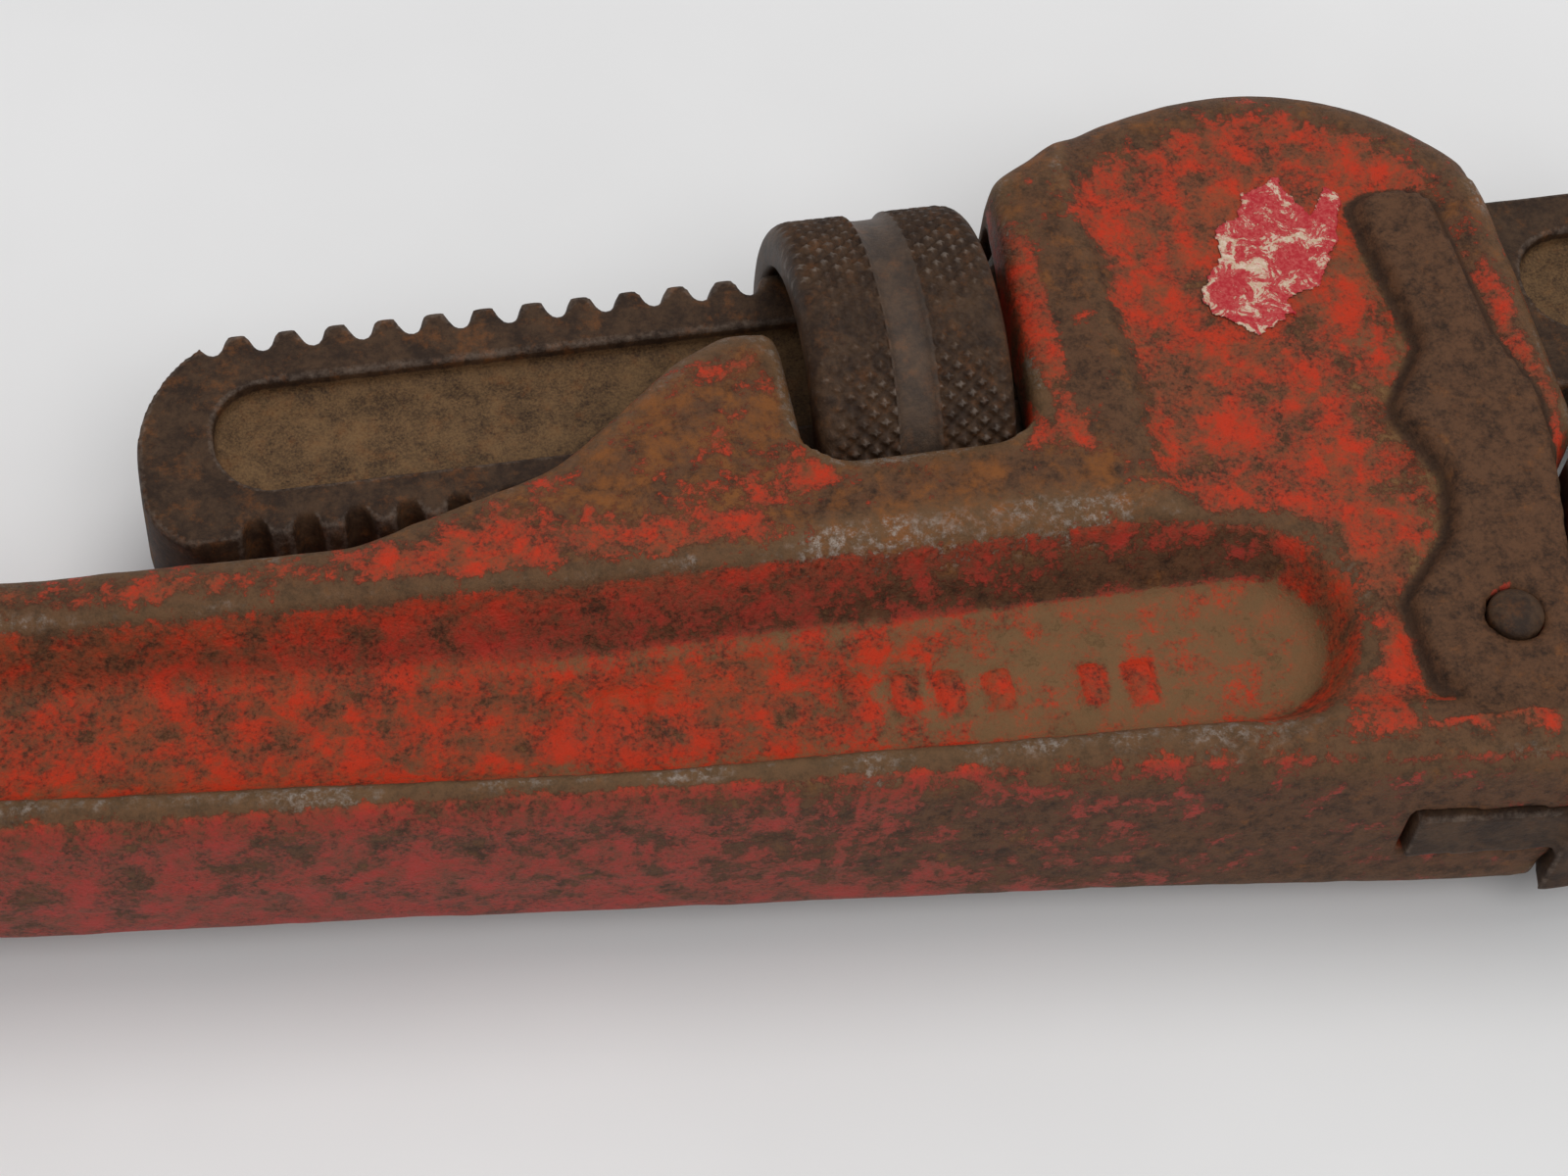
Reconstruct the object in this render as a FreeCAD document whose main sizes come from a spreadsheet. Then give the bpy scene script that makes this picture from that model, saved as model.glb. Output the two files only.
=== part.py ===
"""Adjustable pipe wrench, 18 inch class, as a parametric assembly of separate pieces.

Every length is in millimetres. The head frame lies on the shank's axis: +X runs along the shank
towards the jaws, +Y towards the wrench's back and +Z through its thickness. The origin of the whole
wrench is the centre of the hanging hole, so every body is placed by head_x and head_y.
"""

import FreeCAD, Part
import Sketcher
import math
import os
import re

SIZES = {
    # place of the head frame, counted from the hanging hole
    "head_x": 250.0, "head_y": 22.3,
    # casting of the handle
    "head_thickness": 30.0, "side_depth": 1.8, "tail_thickness": 20.0,
    "taper_start_x": -20.0, "eye_radius": 14.0, "eye_drop": 12.0, "eye_rise": 11.8,
    "eye_round": 11.0, "hang_hole_radius": 5.5,
    "belly_mid_x": 10.3, "belly_mid_y": -60.8, "belly_toe_x": 76.0, "belly_toe_y": -68.6,
    "seat_top_x": 86.0, "seat_top_y": -28.5, "front_x": 90.0, "front_low_y": -24.0,
    "front_high_y": 15.6, "dome_top_x": 61.5, "dome_top_y": 31.2,
    "dome_front_radius": 33.6, "dome_rear_radius": 43.0, "loop_lean": 3.3, "loop_corner_y": 18.9,
    # window for the nut, and the fork on its left
    "window_floor_y": -18.2, "window_round": 4.4, "nut_relief": 1.1,
    "fork_top_y": 1.2, "fork_flat": 6.4, "fork_shoulder_x": -11.4, "fork_shoulder_y": -1.6,
    "ramp_x": -27.0, "ramp_y": -14.0, "ramp_foot_x": -50.0, "ramp_foot_y": -20.2,
    "fork_round": 3.8, "ramp_round": 16.0,
    # passage for the shank and the room for the springs
    "side_clearance": 0.55, "floor_clearance": 0.6, "float_drop": 4.4,
    "roof_rear_gap": 0.5, "roof_front_gap": 4.9, "roof_end_x": 80.0,
    "spring_x": 62.0, "spring_room_radius": 6.6, "spring_room_depth": 10.8,
    # recess on each side of the handle, drawn on the web's face
    "web_thickness": 11.0, "recess_draft": 28.0,
    "recess_end_radius": 9.2, "recess_tail_gap": 24.0, "recess_tail_top_y": -21.4,
    "recess_tail_low_y": -27.4,
    "recess_mid_x": -26.5, "recess_mid_top_y": -34.3, "recess_mid_low_y": -49.2,
    "recess_head_x": 46.5, "recess_head_top_y": -36.0, "recess_head_low_y": -53.4,
    # lowered sides of the housing, left of them the rib round the window
    "rib_width": 13.8, "rib_foot_y": -25.0, "dish_heel_x": 52.0, "dish_heel_y": -56.5,
    "dish_toe_y": -62.6, "dish_draft": 40.0,
    # raised marks on the web
    "mark_height": 0.8, "mark_x": -31.0, "mark_y": -38.6, "mark_width": 2.4, "mark_length": 4.8,
    "mark_pitch": 5.2, "mark_slope": -0.09,
    # shank of the hook jaw
    "thread_pitch": 5.644, "thread_radius": 15.2, "thread_depth": 2.3, "tooth_tip": 2.2,
    "tooth_draft": 22.0, "first_tooth_x": -59.144,
    "shank_thickness": 12.9, "tail_x": -71.4, "tail_round_back": 17.5, "tail_round_front": 9.0,
    "pocket_web": 7.0, "pocket_left_x": -62.8, "pocket_right_x": 62.0, "pocket_top_y": 6.8,
    "pocket_low_y": -7.8, "pocket_round": 6.6,
    # neck and hook
    "neck_x": 45.0, "neck_drop": 2.6, "neck_pocket_x": 92.5, "neck_pocket_right_x": 108.0,
    "jaw_gap": 7.0, "hook_depth": 24.0, "hook_tip_y": -65.0, "hook_width": 26.0, "hook_back_drop": 0.8,
    "hook_shoulder_x": 110.0, "hook_round": 17.0, "throat_rise": 1.2, "throat_drop": 4.5, "tip_chamfer": 7.0,
    # teeth of both jaws
    "bite_pitch": 3.9, "bite_depth": 2.1, "bite_first_y": -62.0, "bite_count": 9.0,
    # heel jaw and its pin
    "heel_face_x": 98.0, "heel_top_y": -29.0, "heel_low_y": -70.0, "tongue_thickness": 8.3,
    "tongue_left_x": 60.5, "tongue_left_low_x": 58.8, "tongue_low_y": -67.4,
    "tongue_top_y": -30.5, "seat_clearance": 0.2,
    "slot_gap": 1.4, "pin_x": 72.5, "pin_y": -49.6, "pin_radius": 3.1, "pin_fit": 0.03,
    "pin_head_rise": 1.1,
    # raised cheek round the pin
    "cheek_round": 2.6,
    # heel nut
    "nut_x": 2.74, "nut_length": 22.76, "nut_wall": 5.5, "nut_round": 2.6, "nut_gap": 1.2,
    "fork_gap": 1.94, "nut_bore_gap": 0.35, "nut_mouth": 2.7, "band_one": 8.87, "band_two": 13.7,
    "band_groove": 0.75, "thread_clearance": 0.3,
    # springs
    "leaf_left_x": 52.0, "leaf_right_x": 77.0, "leaf_thickness": 0.8, "leaf_width": 11.0,
    "leaf_gap": 0.4, "wire_radius": 0.6, "coil_radius": 4.9, "coil_turns": 3.5, "coil_gap": 0.1,
    "rivet_radius": 1.6, "rivet_head_radius": 2.9, "rivet_head": 1.3, "rivet_fit": 0.02,
    # remnant of a paper label
    "label_thickness": 0.25,
    # how far a cutting profile runs past the metal
    "overrun": 20.0,
}

# places of the plain raised bars, counted in mark pitches
MARK_STEPS = (0, 1, 2, 6, 7, 8, 9, 11, 12)

# corners of the raised cheek, counter-clockwise from its toe: the wavy side faces the recess
CHEEK = {
    "cheek_a": (77.6, -60.4), "cheek_b": (84.6, -27.6), "cheek_c": (85.0, -21.0),
    "cheek_d": (82.3, -12.0), "cheek_e": (81.2, 9.6), "cheek_f": (71.6, 9.8),
    "cheek_g": (73.8, -12.4), "cheek_h": (67.8, -20.6), "cheek_i": (71.6, -30.0),
    "cheek_j": (69.2, -38.2), "cheek_k": (61.9, -45.6), "cheek_l": (61.9, -55.6),
    "cheek_m": (67.6, -60.0),
}

# its corners that stay square
CHEEK_SQUARE = ("cheek_a", "cheek_b", "cheek_c")

# corners of the torn label, counter-clockwise from its left end
LABEL = {
    "label_a": (50.4, -1.0), "label_b": (50.8, -3.8), "label_c": (55.7, -8.0),
    "label_d": (60.6, -5.4), "label_e": (60.3, -3.4), "label_f": (64.7, -1.8),
    "label_g": (68.4, 3.8), "label_h": (71.2, 10.8), "label_i": (69.5, 12.1),
    "label_j": (66.4, 7.8), "label_k": (64.0, 14.4), "label_l": (59.2, 12.4),
    "label_m": (57.9, 9.4), "label_n": (54.9, 8.0), "label_o": (54.2, 3.8),
}

for corner, (x, y) in {**CHEEK, **LABEL}.items():
    SIZES[corner + "_x"] = x
    SIZES[corner + "_y"] = y

doc = FreeCAD.newDocument("pipe_wrench")


def fill_sheet():
    """One row for each driving dimension: its name, and its value under the same alias."""
    sheet = doc.addObject("Spreadsheet::Sheet", "Sizes")
    for row, (name, value) in enumerate(SIZES.items(), start=1):
        sheet.set(f"A{row}", name)
        sheet.set(f"B{row}", str(value))
        sheet.setAlias(f"B{row}", name)
    doc.recompute()


def sized(text):
    """The expression whose plain names are cells of the sheet."""
    return re.sub(r"\b(?!tan\b|deg\b|floor\b)[a-z][a-z_]*\b", r"Sizes.\g<0>", text)


def value(text):
    return float(doc.Sizes.evalExpression(sized(text)))


def bind(feature, prop, text):
    feature.setExpression(prop, sized(text))


def new_body(label):
    """A body whose own origin is the head frame."""
    body = doc.addObject("PartDesign::Body", label)
    body.Label = label
    bind(body, "Placement.Base.x", "head_x")
    bind(body, "Placement.Base.y", "head_y")
    return body


def sketch_on(body, name, role, offset=None):
    sketch = body.newObject("Sketcher::SketchObject", name)
    plane = next(item for item in body.Origin.OriginFeatures if item.Role == role)
    sketch.AttachmentSupport = (plane, [""])
    sketch.MapMode = "FlatFace"
    if offset:
        bind(sketch, "AttachmentOffset.Base.z", offset)
    return sketch


def side_arc(start, end, radius):
    """The arc from start to end that bulges to the right of the way between them."""
    chord = end - start
    middle = (start + end) * 0.5
    left = FreeCAD.Vector(-chord.y, chord.x, 0).normalize()
    centre = middle + left * math.sqrt(radius**2 - (chord.Length / 2) ** 2)
    first = math.atan2(start.y - centre.y, start.x - centre.x)
    last = math.atan2(end.y - centre.y, end.x - centre.x)
    circle = Part.Circle(centre, FreeCAD.Vector(0, 0, 1), radius)
    return Part.ArcOfCircle(circle, first, last if last > first else last + 2 * math.pi)


def outline(sketch, corners, arcs=None):
    """A closed loop, counter-clockwise, through corners bound to the sheet.

    arcs gives the radius of each side that is round, by the number of the side's first corner.
    """
    arcs = arcs or {}
    points = [FreeCAD.Vector(value(x), value(y), 0) for x, y in corners]
    base = sketch.GeometryCount
    for side, start in enumerate(points):
        end = points[(side + 1) % len(points)]
        radius = arcs.get(side)
        sketch.addGeometry(side_arc(start, end, value(radius)) if radius else Part.LineSegment(start, end))
    for side in range(len(points)):
        after = (side + 1) % len(points)
        sketch.addConstraint(Sketcher.Constraint("Coincident", base + side, 2, base + after, 1))
    for side, (x, y) in enumerate(corners):
        for kind, text, size in (("DistanceX", x, points[side].x), ("DistanceY", y, points[side].y)):
            number = sketch.addConstraint(Sketcher.Constraint(kind, -1, 1, base + side, 1, size))
            bind(sketch, f"Constraints[{number}]", text)
        if side in arcs:
            number = sketch.addConstraint(Sketcher.Constraint("Radius", base + side, value(arcs[side])))
            bind(sketch, f"Constraints[{number}]", arcs[side])


def circle(sketch, x, y, radius):
    centre = FreeCAD.Vector(value(x), value(y), 0)
    number = sketch.addGeometry(Part.Circle(centre, FreeCAD.Vector(0, 0, 1), value(radius)))
    for kind, text, size in (("DistanceX", x, centre.x), ("DistanceY", y, centre.y)):
        index = sketch.addConstraint(Sketcher.Constraint(kind, -1, 1, number, 3, size))
        bind(sketch, f"Constraints[{index}]", text)
    index = sketch.addConstraint(Sketcher.Constraint("Radius", number, value(radius)))
    bind(sketch, f"Constraints[{index}]", radius)


def through(body, kind, name, sketch, length):
    """A pad or a pocket that runs equally to both sides of its sketch."""
    feature = body.newObject(f"PartDesign::{kind}", name)
    feature.Profile = sketch
    feature.SideType = "Symmetric"
    bind(feature, "Length", length)
    doc.recompute()
    return feature


def outward(body, kind, name, sketch, length, draft=None):
    """A pad or a pocket that runs from its sketch towards +Z, spreading by draft as it goes."""
    feature = body.newObject(f"PartDesign::{kind}", name)
    feature.Profile = sketch
    bind(feature, "Length", length)
    if kind == "Pocket":
        feature.Reversed = True
    if draft:
        bind(feature, "TaperAngle", draft)
    doc.recompute()
    return feature


def mirrored(body, name, originals, role="XY_Plane"):
    feature = body.newObject("PartDesign::Mirrored", name)
    feature.Originals = originals
    plane = next(item for item in body.Origin.OriginFeatures if item.Role == role)
    feature.MirrorPlane = (plane, [""])
    body.Tip = feature
    doc.recompute()
    return feature


def upright_edges(base, corners):
    """Names of the base's edges that run through the thickness at the given corners."""
    places = [(value(x), value(y)) for x, y in corners]
    names = []
    for number, edge in enumerate(base.Shape.Edges, start=1):
        if len(edge.Vertexes) != 2:
            continue
        a, b = (vertex.Point for vertex in edge.Vertexes)
        upright = math.hypot(a.x - b.x, a.y - b.y) < 0.01
        if upright and any(math.hypot(a.x - x, a.y - y) < 0.05 for x, y in places):
            names.append(f"Edge{number}")
    return names


def fillet(body, name, base, edges, radius):
    feature = body.newObject("PartDesign::Fillet", name)
    feature.Base = (base, edges)
    bind(feature, "Radius", radius)
    doc.recompute()
    return feature


def turned(body, kind, name, sketch):
    """A revolution or a groove, all the way round the shank's axis."""
    feature = body.newObject(f"PartDesign::{kind}", name)
    feature.Profile = sketch
    feature.ReferenceAxis = (sketch, ["H_Axis"])
    feature.Angle = 360.0
    doc.recompute()
    return feature


def thread(body, name, sketch, length):
    """A right-hand helical groove along the shank's axis, cut by the sketch's profile."""
    feature = body.newObject("PartDesign::SubtractiveHelix", name)
    feature.Profile = sketch
    feature.ReferenceAxis = (sketch, ["H_Axis"])
    feature.Mode = "pitch-height-angle"
    bind(feature, "Pitch", "thread_pitch")
    bind(feature, "Height", length)
    doc.recompute()
    return feature


FORK_FACE = "(nut_x - fork_gap)"
LOOP_FACE = "(nut_x + nut_length + nut_gap)"
TAIL_END = "(-head_x - eye_radius)"
THROUGH = "(head_thickness * 2)"
PIVOT = "(nut_x + nut_length / 2)"
PASSAGE = "(shank_thickness + side_clearance * 2)"
FLOOR = "(-thread_radius - floor_clearance)"
NUT_RADIUS = "(thread_radius + nut_wall)"
HOUSING = "(head_thickness - side_depth * 2)"
RIB_EDGE = f"({LOOP_FACE} + rib_width)"
FORK_SLOT_END = "(ramp_foot_x * 2)"
RIGHT, ABOVE, BELOW = "(front_x + overrun)", "(dome_top_y + overrun)", "(belly_toe_y - overrun)"


def make_handle():
    body = new_body("handle")
    sketch = sketch_on(body, "handle_outline", "XY_Plane")
    corners = [
        (TAIL_END, "-head_y - eye_drop"), ("belly_mid_x", "belly_mid_y"),
        ("belly_toe_x", "belly_toe_y"), ("seat_top_x", "seat_top_y"),
        ("front_x", "front_low_y"), ("front_x", "front_high_y"),
        ("dome_top_x", "dome_top_y"), (f"{LOOP_FACE} + loop_lean", "loop_corner_y"),
        (LOOP_FACE, "window_floor_y"), (FORK_FACE, "window_floor_y"),
        (FORK_FACE, "fork_top_y"), (f"{FORK_FACE} - fork_flat", "fork_top_y"),
        ("fork_shoulder_x", "fork_shoulder_y"), ("ramp_x", "ramp_y"),
        ("ramp_foot_x", "ramp_foot_y"), (TAIL_END, "-head_y + eye_rise"),
    ]
    outline(sketch, corners, {5: "dome_front_radius", 6: "dome_rear_radius"})
    casting = through(body, "Pad", "casting", sketch, "head_thickness")
    eye_corners = upright_edges(casting, [corners[0], corners[-1]])
    rounded = fillet(body, "eye_corners", casting, eye_corners, "eye_round")
    rounded = fillet(body, "window_corners", rounded, upright_edges(rounded, corners[8:10]), "window_round")
    rounded = fillet(body, "fork_corner", rounded, upright_edges(rounded, corners[10:11]), "fork_round")
    rounded = fillet(body, "ramp_corners", rounded, upright_edges(rounded, corners[13:15]), "ramp_round")

    sketch = sketch_on(body, "tail_taper", "XZ_Plane")
    outline(sketch, [
        (TAIL_END, "tail_thickness / 2"), ("taper_start_x", "head_thickness / 2"),
        (TAIL_END, "head_thickness"),
    ])
    taper = through(body, "Pocket", "taper_cut", sketch, "head_x")
    mirrored(body, "taper_cuts", [taper])

    sketch = sketch_on(body, "lowered_side", "XY_Plane", f"{HOUSING} / 2")
    outline(sketch, [
        ("dish_heel_x", "dish_heel_y"), (RIGHT, "dish_toe_y"),
        (RIGHT, ABOVE), (RIB_EDGE, ABOVE), (RIB_EDGE, "rib_foot_y"),
    ])
    dish = outward(body, "Pocket", "side_cut", sketch, "head_thickness", "dish_draft")
    mirrored(body, "side_cuts", [dish])

    sketch = sketch_on(body, "recess_outline", "XY_Plane", "web_thickness / 2")
    outline(sketch, [
        ("recess_tail_gap - head_x", "recess_tail_low_y"), ("recess_mid_x", "recess_mid_low_y"),
        ("recess_head_x", "recess_head_low_y"), ("recess_head_x", "recess_head_top_y"),
        ("recess_mid_x", "recess_mid_top_y"), ("recess_tail_gap - head_x", "recess_tail_top_y"),
    ], {2: "recess_end_radius"})
    recess = outward(body, "Pocket", "recess_cut", sketch, "head_thickness / 2", "recess_draft")
    mirrored(body, "recess_cuts", [recess])

    sketch = sketch_on(body, "cheek_outline", "XY_Plane")
    names = list(CHEEK)
    outline(sketch, [(f"{name}_x", f"{name}_y") for name in names])
    cheek = through(body, "Pad", "cheek", sketch, "head_thickness")
    wavy = [(f"{name}_x", f"{name}_y") for name in names if name not in CHEEK_SQUARE]
    fillet(body, "cheek_corners", cheek, upright_edges(cheek, wavy), "cheek_round")

    cut_window_relief(body)
    cut_passage(body)
    cut_heel_seat(body)
    add_marks(body)

    sketch = sketch_on(body, "hang_hole_circle", "XY_Plane")
    circle(sketch, "-head_x", "-head_y", "hang_hole_radius")
    through(body, "Pocket", "hang_hole", sketch, THROUGH)
    return body


def cut_window_relief(body):
    """Room under the nut, round the shank's axis, with space for the jaw's float."""
    sketch = sketch_on(body, "nut_room", "XY_Plane")
    outline(sketch, [
        (FORK_FACE, "0"), (LOOP_FACE, "0"),
        (LOOP_FACE, f"{NUT_RADIUS} + nut_relief"), (FORK_FACE, f"{NUT_RADIUS} + nut_relief"),
    ])
    turned(body, "Groove", "nut_relief_cut", sketch)


def cut_passage(body):
    """The shank's way through fork and housing, and the springs' room in its roof."""
    sketch = sketch_on(body, "fork_slot", "XY_Plane")
    outline(sketch, [
        (FORK_SLOT_END, f"{FLOOR} - float_drop"), (PIVOT, FLOOR),
        (PIVOT, "dome_top_y"), (FORK_SLOT_END, "dome_top_y"),
    ])
    through(body, "Pocket", "fork_cut", sketch, PASSAGE)
    sketch = sketch_on(body, "housing_passage", "XY_Plane")
    outline(sketch, [
        (PIVOT, FLOOR), (RIGHT, FLOOR), (RIGHT, "dome_top_y"), ("roof_end_x", "dome_top_y"),
        ("roof_end_x", "thread_radius + roof_front_gap"), (PIVOT, "thread_radius + roof_rear_gap"),
    ])
    through(body, "Pocket", "passage_cut", sketch, PASSAGE)
    sketch = sketch_on(body, "spring_room_circle", "XZ_Plane")
    circle(sketch, "spring_x", "0", "spring_room_radius")
    volume_before = body.Tip.Shape.Volume
    room = body.newObject("PartDesign::Pocket", "spring_room")
    room.Profile = sketch
    bind(room, "Length", "thread_radius + spring_room_depth")
    doc.recompute()
    if room.Shape.Volume >= volume_before:
        raise RuntimeError("the springs' room cuts nothing")


def cut_heel_seat(body):
    """Slot for the heel jaw's tongue and the holes of its pin."""
    sketch = sketch_on(body, "tongue_slot", "XY_Plane")
    outline(sketch, [
        ("tongue_left_low_x - slot_gap", BELOW), (RIGHT, BELOW),
        (RIGHT, "tongue_top_y + seat_clearance"),
        ("tongue_left_x - slot_gap", "tongue_top_y + seat_clearance"),
    ])
    through(body, "Pocket", "tongue_cut", sketch, "tongue_thickness + seat_clearance * 2")
    sketch = sketch_on(body, "pin_hole_circle", "XY_Plane")
    circle(sketch, "pin_x", "pin_y", "pin_radius + pin_fit")
    through(body, "Pocket", "pin_hole", sketch, THROUGH)


def add_marks(body):
    """Plain raised bars on both faces of the web, in two groups."""
    sketch = sketch_on(body, "mark_bars", "XY_Plane")
    for step in MARK_STEPS:
        x = f"mark_x + mark_pitch * {step}"
        y = f"mark_y + mark_pitch * {step} * mark_slope"
        outline(sketch, [
            (x, f"{y} - mark_length"), (f"{x} + mark_width", f"{y} - mark_length"),
            (f"{x} + mark_width", y), (x, y),
        ])
    through(body, "Pad", "marks", sketch, "web_thickness + mark_height * 2")


TOOTH_ROOT = "(thread_radius - thread_depth)"
TOOTH_FLANK = "(thread_depth * tan(tooth_draft * 1 deg))"
THREAD_TURNS = "floor((neck_x - first_tooth_x) / thread_pitch)"
TURNS_TO_NUT = "floor((nut_x - first_tooth_x) / thread_pitch)"
NECK_END = "(hook_shoulder_x + hook_depth / 4)"
BITE_X = "(heel_face_x + jaw_gap)"
HOOK_BACK = "(thread_radius - hook_back_drop)"


def make_hook_jaw():
    body = new_body("hook_jaw")
    sketch = sketch_on(body, "shank_outline", "XY_Plane")
    corners = [
        ("tail_x", "-thread_radius"), (NECK_END, "-thread_radius"),
        (NECK_END, "thread_radius - neck_drop"), ("neck_x", "thread_radius - neck_drop"),
        ("neck_x", "thread_radius"), ("tail_x", "thread_radius"),
    ]
    outline(sketch, corners)
    shank = through(body, "Pad", "shank", sketch, "shank_thickness")
    rounded = fillet(body, "tail_back", shank, upright_edges(shank, corners[5:6]), "tail_round_back")
    rounded = fillet(body, "tail_front", rounded, upright_edges(rounded, corners[0:1]), "tail_round_front")

    sketch = sketch_on(body, "crown", "XY_Plane")
    outline(sketch, [
        ("tail_x - overrun", "thread_radius"), ("neck_x + overrun", "thread_radius"),
        ("neck_x + overrun", "thread_radius * 2"), ("tail_x - overrun", "thread_radius * 2"),
    ])
    turned(body, "Groove", "crown_cut", sketch)

    sketch = sketch_on(body, "thread_gap", "XY_Plane")
    middle = "(first_tooth_x - thread_pitch / 2)"
    tip_half = "((thread_pitch - tooth_tip) / 2)"
    over = "(thread_radius + thread_depth / 2)"
    outline(sketch, [
        (f"{middle} - {tip_half} + {TOOTH_FLANK}", TOOTH_ROOT),
        (f"{middle} + {tip_half} - {TOOTH_FLANK}", TOOTH_ROOT),
        (f"{middle} + {tip_half} + {TOOTH_FLANK} / 2", over),
        (f"{middle} - {tip_half} - {TOOTH_FLANK} / 2", over),
    ])
    thread(body, "shank_thread", sketch, f"thread_pitch * {THREAD_TURNS}")

    sketch = sketch_on(body, "hook_outline", "XY_Plane")
    corners = [
        ("hook_shoulder_x", HOOK_BACK), ("hook_shoulder_x", "-thread_radius + throat_rise"),
        (BITE_X, "heel_top_y + throat_drop"),
        (BITE_X, "hook_tip_y + tip_chamfer / 3"), (f"{BITE_X} + tip_chamfer / 3", "hook_tip_y"),
        (f"{BITE_X} + hook_depth - tip_chamfer", "hook_tip_y"),
        (f"{BITE_X} + hook_depth", "hook_tip_y + tip_chamfer"), (f"{BITE_X} + hook_depth", HOOK_BACK),
    ]
    outline(sketch, corners)
    hook = through(body, "Pad", "hook", sketch, "hook_width")
    fillet(body, "hook_back", hook, upright_edges(hook, corners[7:8]), "hook_round")
    cut_bites(body, BITE_X, 1)

    sketch = sketch_on(body, "shank_pockets", "XY_Plane", "pocket_web / 2")
    pocket_box(sketch, "pocket_left_x", "pocket_right_x")
    pocket_box(sketch, "neck_pocket_x", "neck_pocket_right_x")
    pockets = outward(body, "Pocket", "pocket_cut", sketch, "hook_width")
    mirrored(body, "pocket_cuts", [pockets])
    return body


def pocket_box(sketch, left, right):
    """A long pocket with rounded ends."""
    low, top, round_end = "pocket_low_y", "pocket_top_y", "pocket_round"
    outline(sketch, [
        (f"{left} + {round_end}", low), (f"{right} - {round_end}", low),
        (right, f"{low} + {round_end}"), (right, f"{top} - {round_end}"),
        (f"{right} - {round_end}", top), (f"{left} + {round_end}", top),
        (left, f"{top} - {round_end}"), (left, f"{low} + {round_end}"),
    ], {1: round_end, 3: round_end, 5: round_end, 7: round_end})


def cut_bites(body, face, towards):
    """A row of V gaps in a jaw's face, on the side that towards gives."""
    sketch = sketch_on(body, f"{body.Name}_bite", "XY_Plane")
    inner = f"{face} + bite_depth * {towards}"
    outer = f"{face} - bite_depth * {towards}"
    low, high = "bite_first_y - bite_pitch / 2", "bite_first_y + bite_pitch / 2"
    corners = [(face, low), (inner, "bite_first_y"), (face, high), (outer, high), (outer, low)]
    outline(sketch, corners)
    cut = through(body, "Pocket", f"{body.Name}_bite_cut", sketch, THROUGH)
    pattern = body.newObject("PartDesign::LinearPattern", f"{body.Name}_bites")
    pattern.Originals = [cut]
    pattern.Direction = (sketch, ["V_Axis"])
    bind(pattern, "Length", "bite_pitch * (bite_count - 1)")
    pattern.Occurrences = int(value("bite_count"))
    body.Tip = pattern
    doc.recompute()


def seat_x(height):
    """Where the handle's sloping front face stands at a height."""
    slope = "((seat_top_x - belly_toe_x) / (seat_top_y - belly_toe_y))"
    return f"(belly_toe_x + ({height} - belly_toe_y) * {slope})"


def make_heel_jaw():
    body = new_body("heel_jaw")
    sketch = sketch_on(body, "heel_outline", "XY_Plane")
    outline(sketch, [
        (f"{seat_x('heel_low_y')} + seat_clearance", "heel_low_y"), ("heel_face_x", "heel_low_y"),
        ("heel_face_x", "heel_top_y"), (f"{seat_x('heel_top_y')} + seat_clearance", "heel_top_y"),
    ])
    through(body, "Pad", "heel_block", sketch, "hook_width")
    sketch = sketch_on(body, "tongue_outline", "XY_Plane")
    outline(sketch, [
        ("tongue_left_low_x", "tongue_low_y"), ("seat_top_x", "heel_low_y"),
        ("seat_top_x", "tongue_top_y"), ("tongue_left_x", "tongue_top_y"),
    ])
    through(body, "Pad", "tongue", sketch, "tongue_thickness")
    cut_bites(body, "heel_face_x", -1)
    sketch = sketch_on(body, "heel_pin_circle", "XY_Plane")
    circle(sketch, "pin_x", "pin_y", "pin_radius + pin_fit")
    through(body, "Pocket", "heel_pin_hole", sketch, THROUGH)
    return body


def make_heel_jaw_pin():
    """A plain pin whose ends are domed and stand a little proud of the cheeks."""
    body = new_body("heel_jaw_pin")
    sketch = sketch_on(body, "pin_circle", "XY_Plane")
    circle(sketch, "pin_x", "pin_y", "pin_radius")
    pin = through(body, "Pad", "pin", sketch, "head_thickness + pin_head_rise * 2")
    ends = [f"Edge{number}" for number, edge in enumerate(pin.Shape.Edges, start=1) if edge.isClosed()]
    fillet(body, "domed_ends", pin, ends, "pin_head_rise")
    return body


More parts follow.
